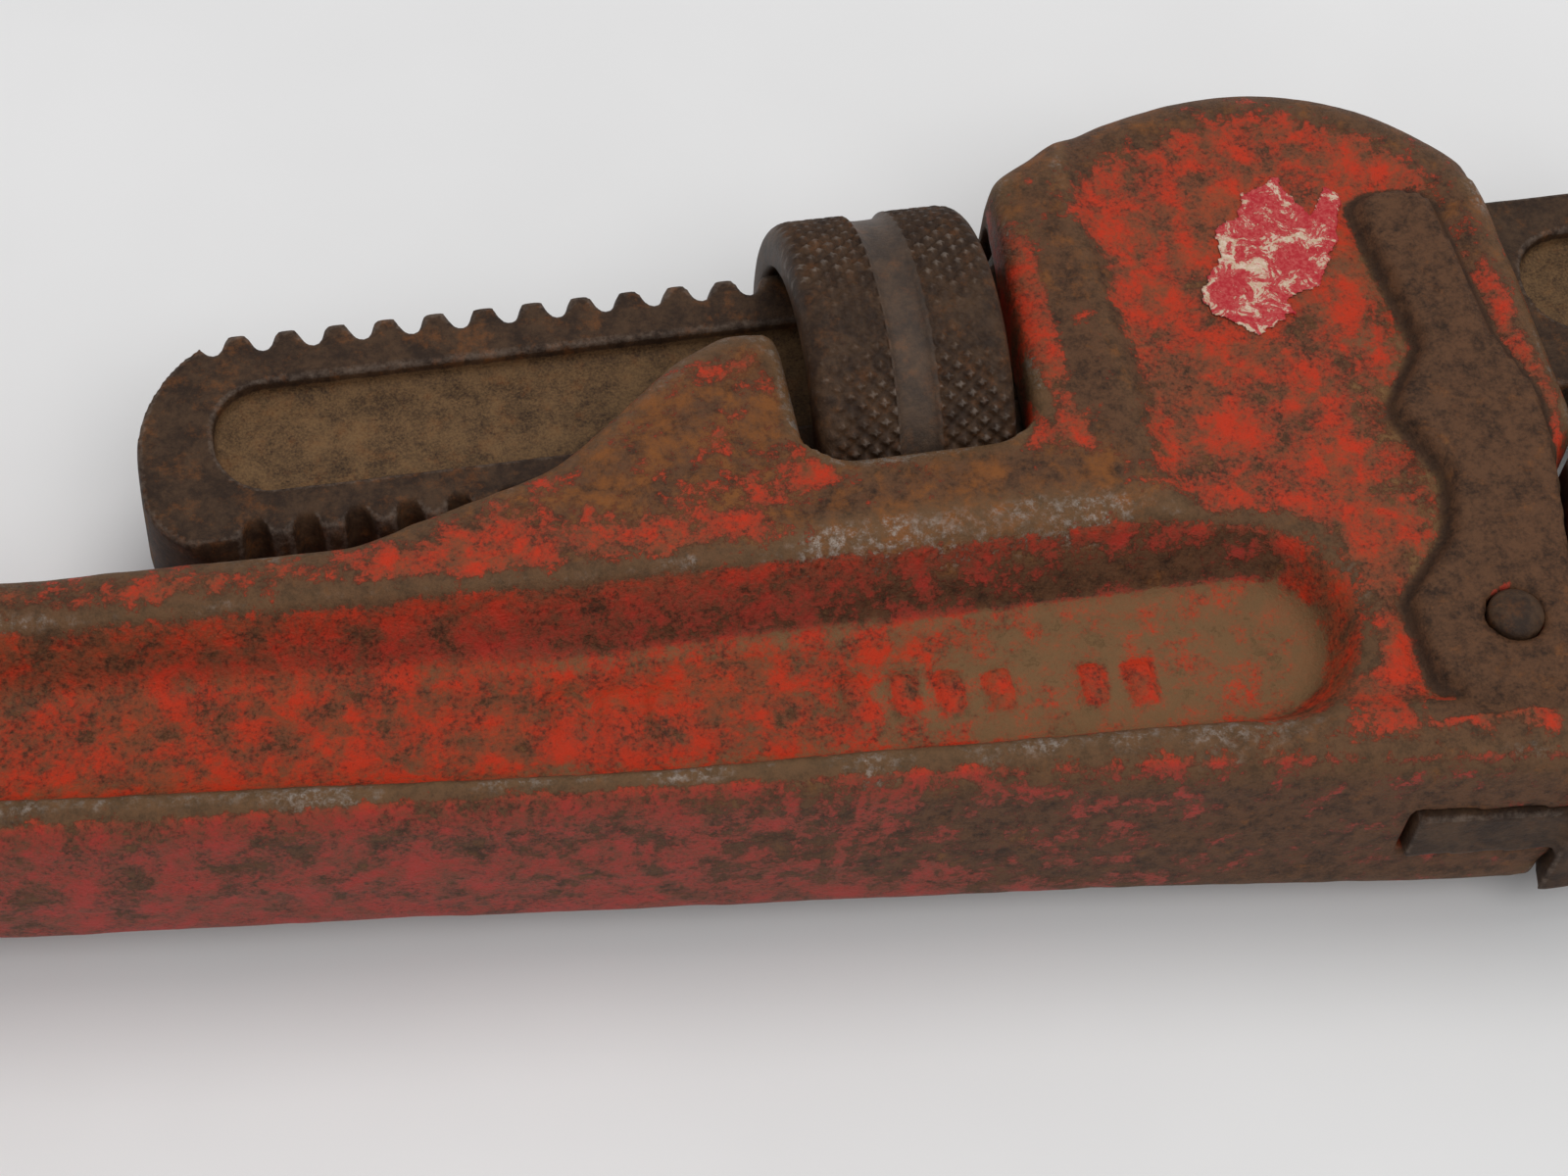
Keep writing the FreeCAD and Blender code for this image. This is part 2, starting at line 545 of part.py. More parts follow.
def make_heel_nut():
    body = new_body("heel_nut")
    bore = f"({TOOTH_ROOT} + nut_bore_gap)"
    right = "(nut_x + nut_length)"
    sketch = sketch_on(body, "nut_section", "XY_Plane")
    outline(sketch, [
        ("nut_x + nut_mouth", bore), (f"{right} - nut_mouth", bore), (right, f"{bore} + nut_mouth"),
        (right, f"{NUT_RADIUS} - nut_round"), (f"{right} - nut_round", NUT_RADIUS),
        ("nut_x + band_two", NUT_RADIUS), ("nut_x + band_two - band_groove", f"{NUT_RADIUS} - band_groove"),
        ("nut_x + band_one + band_groove", f"{NUT_RADIUS} - band_groove"), ("nut_x + band_one", NUT_RADIUS),
        ("nut_x + nut_round", NUT_RADIUS), ("nut_x", f"{NUT_RADIUS} - nut_round"),
        ("nut_x", f"{bore} + nut_mouth"),
    ], {3: "nut_round", 9: "nut_round"})
    turned(body, "Revolution", "nut_blank", sketch)

    sketch = sketch_on(body, "nut_thread_gap", "XY_Plane")
    middle = f"(first_tooth_x + thread_pitch * {TURNS_TO_NUT})"
    tip_half = "(tooth_tip / 2 + thread_clearance)"
    crest = "(thread_radius + thread_clearance)"
    past_bore = 1.5
    base_half = f"({tip_half} + {TOOTH_FLANK} * {past_bore})"
    outline(sketch, [
        (f"{middle} - {base_half}", f"{crest} - thread_depth * {past_bore}"),
        (f"{middle} + {base_half}", f"{crest} - thread_depth * {past_bore}"),
        (f"{middle} + {tip_half}", crest), (f"{middle} - {tip_half}", crest),
    ])
    thread(body, "nut_thread", sketch, "nut_length + thread_pitch * 2")
    return body


def make_flat_spring():
    body = new_body("flat_spring")
    low = "(thread_radius + leaf_gap)"
    sketch = sketch_on(body, "leaf_outline", "XY_Plane")
    outline(sketch, [
        ("leaf_left_x", low), ("leaf_right_x", low),
        ("leaf_right_x", f"{low} + leaf_thickness"), ("leaf_left_x", f"{low} + leaf_thickness"),
    ])
    through(body, "Pad", "leaf", sketch, "leaf_width")
    sketch = sketch_on(body, "leaf_hole_circle", "XZ_Plane")
    circle(sketch, "spring_x", "0", "rivet_radius + rivet_fit")
    through(body, "Pocket", "leaf_hole", sketch, THROUGH)
    return body


LEAF_TOP = "(thread_radius + leaf_gap + leaf_thickness)"


def make_spring_rivet():
    body = new_body("spring_rivet")
    sketch = sketch_on(body, "rivet_shank_circle", "XZ_Plane", f"-{LEAF_TOP}")
    circle(sketch, "spring_x", "0", "rivet_radius")
    shank = body.newObject("PartDesign::Pad", "rivet_shank")
    shank.Profile = sketch
    bind(shank, "Length", "leaf_thickness")
    sketch = sketch_on(body, "rivet_head_circle", "XZ_Plane", f"-{LEAF_TOP}")
    circle(sketch, "spring_x", "0", "rivet_head_radius")
    head = body.newObject("PartDesign::Pad", "rivet_head_disc")
    head.Profile = sketch
    head.Reversed = True
    bind(head, "Length", "rivet_head")
    doc.recompute()
    return body


def make_coil_spring():
    """Round wire on a helix, standing between the leaf and the roof of its room."""
    body = new_body("coil_spring")
    low = f"({LEAF_TOP} + wire_radius + coil_gap)"
    sketch = sketch_on(body, "wire_circle", "XY_Plane")
    bind(sketch, "AttachmentOffset.Base.x", "spring_x")
    circle(sketch, "coil_radius", low, "wire_radius")
    coil = body.newObject("PartDesign::AdditiveHelix", "coil")
    coil.Profile = sketch
    coil.ReferenceAxis = (sketch, ["V_Axis"])
    coil.Mode = "height-turns-angle"
    bind(coil, "Height", f"thread_radius + spring_room_depth - wire_radius - coil_gap - {low}")
    bind(coil, "Turns", "coil_turns")
    doc.recompute()
    return body


def make_label():
    body = new_body("label_remnant")
    sketch = sketch_on(body, "label_outline", "XY_Plane", f"{HOUSING} / 2")
    outline(sketch, [(f"{name}_x", f"{name}_y") for name in LABEL])
    outward(body, "Pad", "label_sheet", sketch, "label_thickness")
    return body


def check_and_export(bodies):
    """Stops on any failed object or bad shape, then writes one file for each piece."""
    doc.recompute()
    for item in doc.Objects:
        if {"Invalid", "Error"} & set(item.State):
            raise RuntimeError(f"{item.Name} failed: {item.State}")
    for body in bodies:
        if body.Shape.isNull() or not body.Shape.isValid():
            raise RuntimeError(f"{body.Label} has no valid shape")
    os.makedirs("parts", exist_ok=True)
    for body in bodies:
        body.Shape.exportStep(f"parts/{body.Label}.step")
        box = body.Shape.BoundBox
        sides = (box.XMin, box.XMax, box.YMin, box.YMax, box.ZMin, box.ZMax)
        print(f"{body.Label:14s} {body.Shape.Volume:9.0f} mm3", *(f"{side:8.2f}" for side in sides))


fill_sheet()
check_and_export([
    make_handle(), make_hook_jaw(), make_heel_jaw(), make_heel_jaw_pin(), make_heel_nut(),
    make_flat_spring(), make_coil_spring(), make_spring_rivet(), make_label(),
])
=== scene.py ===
"""Looks of an old adjustable pipe wrench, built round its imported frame.

Lengths are in metres, in the frame's own axes: +X along the hook jaw's shank towards the jaws, +Y
towards the wrench's back, +Z through its thickness. Zones of wear and dirt are given in millimetres
from the head point, which lies on the shank's axis, a little left of the nut.
"""

import math

import bmesh
import bpy
import numpy as np
from bpy.props import FloatProperty, FloatVectorProperty, IntProperty, PointerProperty
from mathutils import Matrix, Vector, noise
from mathutils.bvhtree import BVHTree


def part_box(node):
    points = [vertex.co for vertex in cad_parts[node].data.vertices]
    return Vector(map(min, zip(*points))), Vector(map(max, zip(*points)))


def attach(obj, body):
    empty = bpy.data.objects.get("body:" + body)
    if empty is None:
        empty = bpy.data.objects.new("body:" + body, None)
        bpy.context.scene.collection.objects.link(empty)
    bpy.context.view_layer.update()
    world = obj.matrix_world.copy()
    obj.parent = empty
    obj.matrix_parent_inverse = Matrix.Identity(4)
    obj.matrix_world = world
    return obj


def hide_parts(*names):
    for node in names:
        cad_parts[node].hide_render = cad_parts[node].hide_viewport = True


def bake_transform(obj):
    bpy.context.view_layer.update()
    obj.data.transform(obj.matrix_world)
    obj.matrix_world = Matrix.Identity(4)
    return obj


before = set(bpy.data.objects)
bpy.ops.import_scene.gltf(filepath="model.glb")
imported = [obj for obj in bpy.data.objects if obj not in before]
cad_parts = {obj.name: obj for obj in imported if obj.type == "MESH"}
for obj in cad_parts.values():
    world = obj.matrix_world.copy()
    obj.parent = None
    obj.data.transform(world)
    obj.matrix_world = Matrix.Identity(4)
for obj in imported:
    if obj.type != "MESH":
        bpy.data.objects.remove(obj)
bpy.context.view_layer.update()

bl_info = {
    "name": "Pipe wrench looks",
    "version": (1, 0, 0),
    "blender": (4, 5, 0),
    "location": "3D View > Sidebar > Wrench",
    "description": "Worn casting, jaws, knurled nut, springs and stage of a pipe wrench",
    "category": "Object",
}

MM = 0.001
NUT_LOW, NUT_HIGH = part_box("heel_nut")
AXIS_Y = (NUT_LOW.y + NUT_HIGH.y) / 2
NUT_RADIUS = (NUT_HIGH.y - NUT_LOW.y) / 2 / MM
NUT_START = 2.74
HEAD = Vector((NUT_LOW.x - NUT_START * MM, AXIS_Y, 0))

# The shank's thread, the pin and the coil, in millimetres from the head point
PITCH = 5.644
FIRST_TOOTH = -59.144
THREAD_ROOT, THREAD_CREST, MOUTH_DEPTH = 13.25, 15.5, 2.7
PIN = (72.5, -49.6)
SPRING_X = 62.0

# The casting's zones in plan, each an ellipse's centre and its two half axes
UPPER_CREST = ((18, -26), (36, 10))
# The zone below holds the crest's rubbed iron and its painted glints (painted highlight).
RUBBED_GLINT_CREST = ((14, -29.5), (44, 5))
WINDOW_RIB = ((36, -6), (7.5, 34))
RED_STRIPE = ((29.6, 1.5), (3.4, 17))
FORK_HUMP = ((-17, -13), (32, 19))
CHEEK_SIDE = ((70, -25), (14, 42))
WEB_END = ((36, -44), (46, 12))

# Half thicknesses of the casting
HALF_HEAD, SIDE_DEPTH = 15.0, 1.8
CHEEK_FOOT, OUTER_WALL = 12.0, 7.9
PASSAGE_HALF = 7.2

SHINE = 0.16
SEAM = 0.001 * MM


# ---------------------------------------------------------------- settings

class WrenchSizes(bpy.types.PropertyGroup):
    """Fineness of the meshes and how far use has rounded them."""

    casting_voxel: FloatProperty(
        name="Casting detail", description="Grain of the handle's mesh",
        default=0.9 * MM, min=0.3 * MM, unit="LENGTH")
    casting_rounding: IntProperty(
        name="Casting rounding", description="Passes that round the casting's edges", default=20, min=0)
    jaw_voxel: FloatProperty(
        name="Jaw detail", description="Grain of the jaws' meshes",
        default=0.57 * MM, min=0.2 * MM, unit="LENGTH")
    jaw_rounding: IntProperty(
        name="Jaw rounding", description="Passes that round the jaws' edges", default=3, min=0)
    knurl_depth: FloatProperty(
        name="Knurl depth", description="Depth of the nut's diamond pattern",
        default=0.85 * MM, min=0.0, unit="LENGTH")
    knurl_around: IntProperty(
        name="Knurl count", description="Diamonds round the nut", default=60, min=12)
    lumps: FloatProperty(
        name="Lumps", description="Height of the casting's unevenness",
        default=0.22 * MM, min=0.0, unit="LENGTH")


class WrenchColours(bpy.types.PropertyGroup):
    """Colours of paint, metal, rust, dirt, label and stage."""

    paint: FloatVectorProperty(
        name="Paint", description="Fresh orange-red paint", subtype="COLOR",
        default=(0.53, 0.036, 0.010))
    faded: FloatVectorProperty(
        name="Faded paint", description="Paint dulled to orange", subtype="COLOR",
        default=(0.34, 0.062, 0.021))
    crimson: FloatVectorProperty(
        name="Crimson paint", description="Paint on the belly", subtype="COLOR",
        default=(0.38, 0.037, 0.027))
    brown: FloatVectorProperty(
        name="Bare iron", description="Brown skin of bare iron", subtype="COLOR",
        default=(0.122, 0.056, 0.027))
    # Dark iron is also the colour of the painted shade in the casting's hollows and along its cheeks' step.
    dark: FloatVectorProperty(
        name="Dark iron", description="Darkest iron and old grease", subtype="COLOR",
        default=(0.028, 0.015, 0.009))
    forged: FloatVectorProperty(
        name="Forged steel", description="Brown skin of jaws and nut", subtype="COLOR",
        default=(0.078, 0.042, 0.022))
    rust: FloatVectorProperty(
        name="Rust", description="Orange rust", subtype="COLOR", default=(0.25, 0.085, 0.020))
    dust: FloatVectorProperty(
        name="Dirt", description="Tan dirt in the hollows", subtype="COLOR", default=(0.20, 0.115, 0.052))
    # Light grey of rubbed metal, also laid on as painted highlight: glints on ridges, edges and knurl tops.
    bright: FloatVectorProperty(
        name="Rubbed metal", description="Metal rubbed bright", subtype="COLOR", default=(0.36, 0.31, 0.27))
    paper: FloatVectorProperty(
        name="Label paper", description="Aged paper", subtype="COLOR", default=(0.55, 0.38, 0.25))
    ink: FloatVectorProperty(
        name="Label ink", description="Faded crimson print", subtype="COLOR", default=(0.44, 0.022, 0.032))
    clean_paper: FloatVectorProperty(
        name="Clean paper", description="Label paper that stayed clean", subtype="COLOR",
        default=(0.74, 0.60, 0.48))
    pale_ink: FloatVectorProperty(
        name="Pale ink", description="Print rubbed pale", subtype="COLOR", default=(0.55, 0.10, 0.09))
    table: FloatVectorProperty(
        name="Table", description="Pale surface underneath", subtype="COLOR", default=(0.88, 0.88, 0.88))


def sizes():
    """The scene's sizes, as the panel shows them."""
    return bpy.context.scene.wrench_sizes


def colours():
    """The scene's colours, as the panel shows them."""
    return bpy.context.scene.wrench_colours


# ---------------------------------------------------------------- shader nodes

def node(tree, kind, inputs=None, **settings):
    """One shader node. Inputs are numbers, colours or the sockets of other nodes."""
    made = tree.nodes.new("ShaderNode" + kind)
    for name, setting in settings.items():
        setattr(made, name, setting)
    for name, given in (inputs or {}).items():
        if isinstance(given, bpy.types.NodeSocket):
            tree.links.new(given, made.inputs[name])
        else:
            made.inputs[name].default_value = given
    return made


def new_material(name):
    """A material with its node tree and its main shader."""
    material = bpy.data.materials.new(name)
    material.use_nodes = True
    tree = material.node_tree
    return material, tree, tree.nodes["Principled BSDF"]


def speckle(tree, size, detail=4.0, roughness=0.6, distortion=0.0):
    """Noise whose blotches are about size millimetres wide, fixed to the piece."""
    place = node(tree, "TexCoord").outputs["Object"]
    inputs = {"Vector": place, "Scale": 1 / (size * MM), "Detail": detail,
              "Roughness": roughness, "Distortion": distortion}
    return node(tree, "TexNoise", inputs).outputs["Fac"]


def calc(tree, operation, first, second=0.0):
    """One step of arithmetic on two numbers or sockets."""
    return node(tree, "Math", {0: first, 1: second}, operation=operation).outputs[0]


def between(tree, value, low, high, to_low=0.0, to_high=1.0):
    """The value's place between low and high, held within the two ends."""
    inputs = {"Value": value, "From Min": low, "From Max": high, "To Min": to_low, "To Max": to_high}
    return node(tree, "MapRange", inputs, interpolation_type="SMOOTHSTEP").outputs["Result"]


def colour_mix(tree, share, first, second):
    """The first colour, with a share of the second laid over it."""
    def full(colour):
        """The colour with full opacity, or the socket as it is."""
        return colour if isinstance(colour, bpy.types.NodeSocket) else (*colour, 1.0)

    inputs = {0: share, 6: full(first), 7: full(second)}
    return node(tree, "Mix", inputs, data_type="RGBA").outputs[2]


def trait(tree, name):
    """A number painted on the mesh's vertices."""
    return node(tree, "Attribute", attribute_name=name).outputs["Fac"]


def finish_surface(tree, shader, colour, roughness, relief, depth, metallic=None):
    """Joins a material's results to its shader. The relief's depth is in millimetres."""
    shader.inputs["Specular IOR Level"].default_value = SHINE
    bump = node(tree, "Bump", {"Height": relief, "Distance": depth * MM, "Strength": 1.0})
    tree.links.new(colour, shader.inputs["Base Color"])
    tree.links.new(roughness, shader.inputs["Roughness"])
    tree.links.new(bump.outputs["Normal"], shader.inputs["Normal"])
    if metallic is not None:
        tree.links.new(metallic, shader.inputs["Metallic"])


# ---------------------------------------------------------------- materials

def around_half(tree, value, strength):
    """The noise moved to lie around 0 and made stronger."""
    return calc(tree, "MULTIPLY", calc(tree, "SUBTRACT", value, 0.5), strength)


def total(tree, *values):
    """The sum of numbers and sockets."""
    result = values[0]
    for value in values[1:]:
        result = calc(tree, "ADD", result, value)
    return result


def casting_material():
    """Red paint worn through to brown iron along the ridges, with rust, chips and tan dirt, painted glints
    on the rubbed ridges, and painted shade with grime in the hollows and along the cheeks' step.
    """
    tint = colours()
    material, tree, shader = new_material("worn_red_paint")
    wear, dirt, rust, belly, ridge, grime = (
        trait(tree, name) for name in ("wear", "dirt", "rust", "belly", "ridge", "grime"))
    broad = speckle(tree, 14, 5, 0.6)
    patch = speckle(tree, 5.0, 9, 0.70, 0.3)
    smudge = speckle(tree, 3.4, 7, 0.72, 0.2)
    chips = speckle(tree, 1.1, 6, 0.72)
    grain = speckle(tree, 0.38, 4, 0.7)

    hue = total(tree, around_half(tree, broad, 1.2), around_half(tree, smudge, 1.6))
    coat = colour_mix(tree, between(tree, hue, -0.15, 0.20), tint.paint, tint.faded)
    coat = colour_mix(tree, belly, coat, tint.crimson)
    soiled = total(tree, around_half(tree, smudge, 1.0), around_half(tree, patch, 1.0),
                   around_half(tree, grain, 0.5))
    soiled = total(tree, soiled, calc(tree, "MULTIPLY", wear, 0.35))
    soiled = between(tree, soiled, -0.16, 0.34, 0.0, 0.88)
    coat = colour_mix(tree, soiled, coat, tint.brown)
    specks = total(tree, around_half(tree, speckle(tree, 0.6, 6, 0.75), 1.0), around_half(tree, patch, 0.6))
    coat = colour_mix(tree, between(tree, specks, -0.04, 0.22, 0.0, 0.82), coat, tint.dark)

    iron = total(tree, around_half(tree, speckle(tree, 2.0, 7, 0.75), 1.2), around_half(tree, grain, 0.5))
    iron = colour_mix(tree, between(tree, iron, -0.28, 0.16), tint.dark, tint.brown)
    iron = colour_mix(tree, calc(tree, "MULTIPLY", ridge, 0.45), iron, tint.dust)
    rusty = total(tree, calc(tree, "MULTIPLY", rust, 0.5), around_half(tree, smudge, 1.8))
    iron = colour_mix(tree, between(tree, rusty, 0.10, 0.60, 0.0, 0.85), iron, tint.rust)
    # Painted highlight: sparse glints of rubbed-metal grey on the rubbed ridges, also made metallic.
    rubbed = total(tree, ridge, around_half(tree, broad, 2.2), around_half(tree, smudge, 1.2))
    glint = calc(tree, "MULTIPLY", between(tree, speckle(tree, 1.1, 6, 0.8), 0.46, 0.66),
                 between(tree, rubbed, 0.60, 1.20, 0.0, 0.85))
    iron = colour_mix(tree, glint, iron, tint.bright)

    edge = total(tree, wear, around_half(tree, patch, 1.5), around_half(tree, smudge, 1.0),
                 around_half(tree, chips, 0.9), around_half(tree, grain, 0.5))
    bare = between(tree, edge, 0.40, 0.64)
    colour = colour_mix(tree, bare, coat, iron)
    dusty = total(tree, dirt, around_half(tree, smudge, 2.0), around_half(tree, chips, 0.8),
                  around_half(tree, grain, 1.0))
    dusty = between(tree, dusty, 0.28, 1.00, 0.0, 0.88)
    colour = colour_mix(tree, dusty, colour, tint.dust)
    # Painted shade: dark iron colour laid over the hollows and along the cheeks' step, mixed with grime.
    shade_and_stain = between(tree, total(tree, grime, around_half(tree, smudge, 0.8)), 0.25, 0.95, 0.0, 0.75)
    colour = colour_mix(tree, shade_and_stain, colour, tint.dark)

    rough = total(tree, between(tree, bare, 0.0, 1.0, 0.50, 0.62), calc(tree, "MULTIPLY", dusty, 0.3))
    rough = calc(tree, "SUBTRACT", rough, calc(tree, "MULTIPLY", glint, 0.25))
    relief = total(tree, calc(tree, "MULTIPLY", grain, 0.35), calc(tree, "MULTIPLY", chips, 0.65),
                   calc(tree, "MULTIPLY", smudge, 0.8))
    relief = calc(tree, "SUBTRACT", relief, calc(tree, "MULTIPLY", bare, 0.35))
    finish_surface(tree, shader, colour, rough, relief, 0.30, glint)
    return material


def aged_metal(name, base, light, rust_share, rough, glint_share):
    """Dark forged or cast metal: blotched, rusty in places, rubbed along its edges, with painted glints
    there.
    """
    tint = colours()
    material, tree, shader = new_material(name)
    wear, dirt, polish = (trait(tree, trait_name) for trait_name in ("wear", "dirt", "polish"))
    patch = speckle(tree, 4.0, 8, 0.7, 0.3)
    fine = speckle(tree, 0.8, 5, 0.75)
    grain = speckle(tree, 0.3, 3, 0.7)
    blotch = total(tree, around_half(tree, patch, 1.4), around_half(tree, fine, 0.8))
    colour = colour_mix(tree, between(tree, blotch, -0.25, 0.30), base, light)
    rusty = between(tree, speckle(tree, 2.6, 8, 0.75), 0.50, 0.68, 0.0, rust_share)
    colour = colour_mix(tree, rusty, colour, tint.rust)
    # Rubbed edges, knurl tops and the polished groove lighten towards rubbed metal, partly as painted
    # highlight (glints).
    rubbed = total(tree, wear, around_half(tree, fine, 1.2), around_half(tree, patch, 0.8))
    rubbed = between(tree, rubbed, 0.70, 1.40, 0.0, glint_share)
    rubbed = calc(tree, "MAXIMUM", rubbed, calc(tree, "MULTIPLY", polish, 0.75))
    colour = colour_mix(tree, rubbed, colour, tint.bright)
    dusty = total(tree, dirt, around_half(tree, patch, 0.8), around_half(tree, grain, 1.0))
    dusty = between(tree, dusty, 0.28, 0.95, 0.0, 0.9)
    colour = colour_mix(tree, dusty, colour, tint.dust)
    coarse = total(tree, calc(tree, "MULTIPLY", dusty, 0.3), rough)
    coarse = calc(tree, "SUBTRACT", coarse, calc(tree, "MULTIPLY", rubbed, 0.22))
    relief = total(tree, calc(tree, "MULTIPLY", fine, 0.6), calc(tree, "MULTIPLY", grain, 0.4), patch)
    finish_surface(tree, shader, colour, coarse, relief, 0.16, calc(tree, "MULTIPLY", rubbed, 0.7))
    return material


def label_material():
    """Aged paper with what is left of a plain crimson print."""
    tint = colours()
    material, tree, shader = new_material("torn_label_paper")
    blot = speckle(tree, 2.6, 7, 0.75, 0.8)
    fibre = speckle(tree, 0.5, 4, 0.7)
    paper = colour_mix(tree, between(tree, fibre, 0.35, 0.65), tint.paper, tint.clean_paper)
    print_left = calc(tree, "ADD", calc(tree, "MULTIPLY", blot, 0.75), calc(tree, "MULTIPLY", fibre, 0.25))
    ink = colour_mix(tree, between(tree, fibre, 0.40, 0.70), tint.ink, tint.pale_ink)
    colour = colour_mix(tree, between(tree, print_left, 0.44, 0.49), paper, ink)
    rough = between(tree, blot, 0.3, 0.7, 0.55, 0.75)
    finish_surface(tree, shader, colour, rough, fibre, 0.08)
    return material


def table_material():
    """Pale painted board with faint unevenness."""
    material, tree, shader = new_material("pale_board")
    tint = colours().table
    shade = [0.97 * part for part in tint]
    colour = colour_mix(tree, between(tree, speckle(tree, 60, 3), 0.3, 0.7), tint, shade)
    rough = between(tree, speckle(tree, 25, 3), 0.3, 0.7, 0.50, 0.62)
    finish_surface(tree, shader, colour, rough, speckle(tree, 30, 2), 0.12)
    return material


# ---------------------------------------------------------------- mesh tools

def add_object(name, mesh, material):
    """Puts a mesh into the scene with its material."""
    obj = bpy.data.objects.new(name, mesh)
    bpy.context.scene.collection.objects.link(obj)
    mesh.materials.clear()
    mesh.materials.append(material)
    return obj


def copied(name, cad_node, material):
    """A new piece that starts from a copy of a CAD node's mesh, with its split corners joined."""
    work = bmesh.new()
    work.from_mesh(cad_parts[cad_node].data)
    bmesh.ops.remove_doubles(work, verts=work.verts, dist=SEAM)
    mesh = bpy.data.meshes.new(name)
    work.to_mesh(mesh)
    work.free()
    return add_object(name, mesh, material)


def settle(obj):
    """Applies the piece's modifiers."""
    view = bpy.context.evaluated_depsgraph_get()
    made = bpy.data.meshes.new_from_object(obj.evaluated_get(view))
    obj.modifiers.clear()
    old = obj.data
    obj.data = made
    bpy.data.meshes.remove(old)


def remesh(obj, voxel):
    """Gives the piece an even mesh, fine enough to round and wear."""
    modifier = obj.modifiers.new("grain", "REMESH")
    modifier.mode = "VOXEL"
    modifier.voxel_size = voxel
    modifier.use_smooth_shade = True
    settle(obj)


def smooth(obj, passes, weights=None):
    """Rounds the piece's edges, less where a vertex's weight is below 1."""
    modifier = obj.modifiers.new("rounding", "SMOOTH")
    modifier.factor = 0.5
    modifier.iterations = passes
    if weights is not None:
        group = obj.vertex_groups.new(name="rounding")
        levels = np.round(np.clip(weights, 0, 1) * 20).astype(int)
        for level in np.unique(levels):
            group.add(np.nonzero(levels == level)[0].tolist(), level / 20, "REPLACE")
        modifier.vertex_group = "rounding"
    settle(obj)
    obj.vertex_groups.clear()


def places(mesh):
    """The vertices' places, in metres."""
    found = np.empty(len(mesh.vertices) * 3)
    mesh.vertices.foreach_get("co", found)
    return found.reshape(-1, 3)


def directions(mesh):
    """The vertices' normals."""
    found = np.empty(len(mesh.vertices) * 3, np.float32)
    mesh.vertex_normals.foreach_get("vector", found)
    return found.reshape(-1, 3).astype(float)


def move_to(mesh, points):
    """Moves each vertex to its new place, in metres."""
    mesh.vertices.foreach_set("co", points.astype(np.float32).ravel())
    mesh.update()


def paint(mesh, **traits):
    """Puts each trait's numbers on the mesh's vertices."""
    for name, numbers in traits.items():
        layer = mesh.attributes.new(name, "FLOAT", "POINT")
        layer.data.foreach_set("value", np.broadcast_to(numbers, len(mesh.vertices)).astype(np.float32))


def ridges(mesh, passes):
    """How far each vertex stands above its smoothed surroundings, in millimetres."""
    points, normals = places(mesh), directions(mesh)
    ends = np.empty(len(mesh.edges) * 2, np.int32)
    mesh.edges.foreach_get("vertices", ends)
    first, second = ends.reshape(-1, 2).T
    count = np.bincount(ends, minlength=len(points))[:, None]
    soft = points.copy()
    for _ in range(passes):
        around = np.stack([
            np.bincount(first, soft[second, axis], len(points))
            + np.bincount(second, soft[first, axis], len(points))
            for axis in range(3)
        ], axis=1)
        soft = 0.5 * soft + 0.5 * around / np.maximum(count, 1)
    return ((points - soft) * normals).sum(axis=1) / MM


def unevenness(points, size, seed):
    """Smooth noise from -1 to 1 at each point, with lumps of the given size in millimetres."""
    shift = Vector((seed, 2.0 * seed, 3.0 * seed))
    scale = 1 / (size * MM)
    return np.array([noise.noise(Vector(point) * scale + shift) for point in points])


def ramp(numbers, low, high):
    """0 below low, 1 above high, with a smooth rise between them."""
    share = np.clip((numbers - low) / (high - low), 0, 1)
    return share * share * (3 - 2 * share)


def near(x, y, zone):
    """1 in the middle of a zone, falling to 0 at its rim."""
    centre, reach = zone
    distance = np.hypot((x - centre[0]) / reach[0], (y - centre[1]) / reach[1])
    return 1 - ramp(distance, 0.35, 1.0)


def head_places(mesh):
    """The vertices' places from the head point, in millimetres."""
    return ((places(mesh) - np.array(HEAD)) / MM).T


def turned(name, profile, centre, axis, around, material):
    """A closed piece turned round an axis. Its profile is (radius, height), from end to end."""
    work = bmesh.new()
    turn = Vector((0, 0, 1)).rotation_difference(Vector(axis)).to_matrix()
    angles = [2 * math.pi * step / around for step in range(around)]

    def vertex(radius, angle, height):
        """A new vertex at a radius, an angle and a height about the axis."""
        place = Vector((radius * math.cos(angle), radius * math.sin(angle), height))
        return work.verts.new(Vector(centre) + turn @ place)

    rings = [[vertex(radius, angle, height) for angle in angles] for radius, height in profile[1:-1]]
    low, high = (vertex(0, 0, end[1]) for end in (profile[0], profile[-1]))
    for step in range(around):
        after = (step + 1) % around
        work.faces.new((low, rings[0][after], rings[0][step]))
        work.faces.new((high, rings[-1][step], rings[-1][after]))
        for ring, following in zip(rings, rings[1:]):
            work.faces.new((ring[step], ring[after], following[after], following[step]))
    mesh = bpy.data.meshes.new(name)
    work.to_mesh(mesh)
    work.free()
    mesh.shade_smooth()
    return add_object(name, mesh, material)


def fitted(obj, body, cad_node):
    """The piece stands for its CAD node and moves with that body."""
    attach(obj, body)
    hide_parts(cad_node)


# ---------------------------------------------------------------- pieces

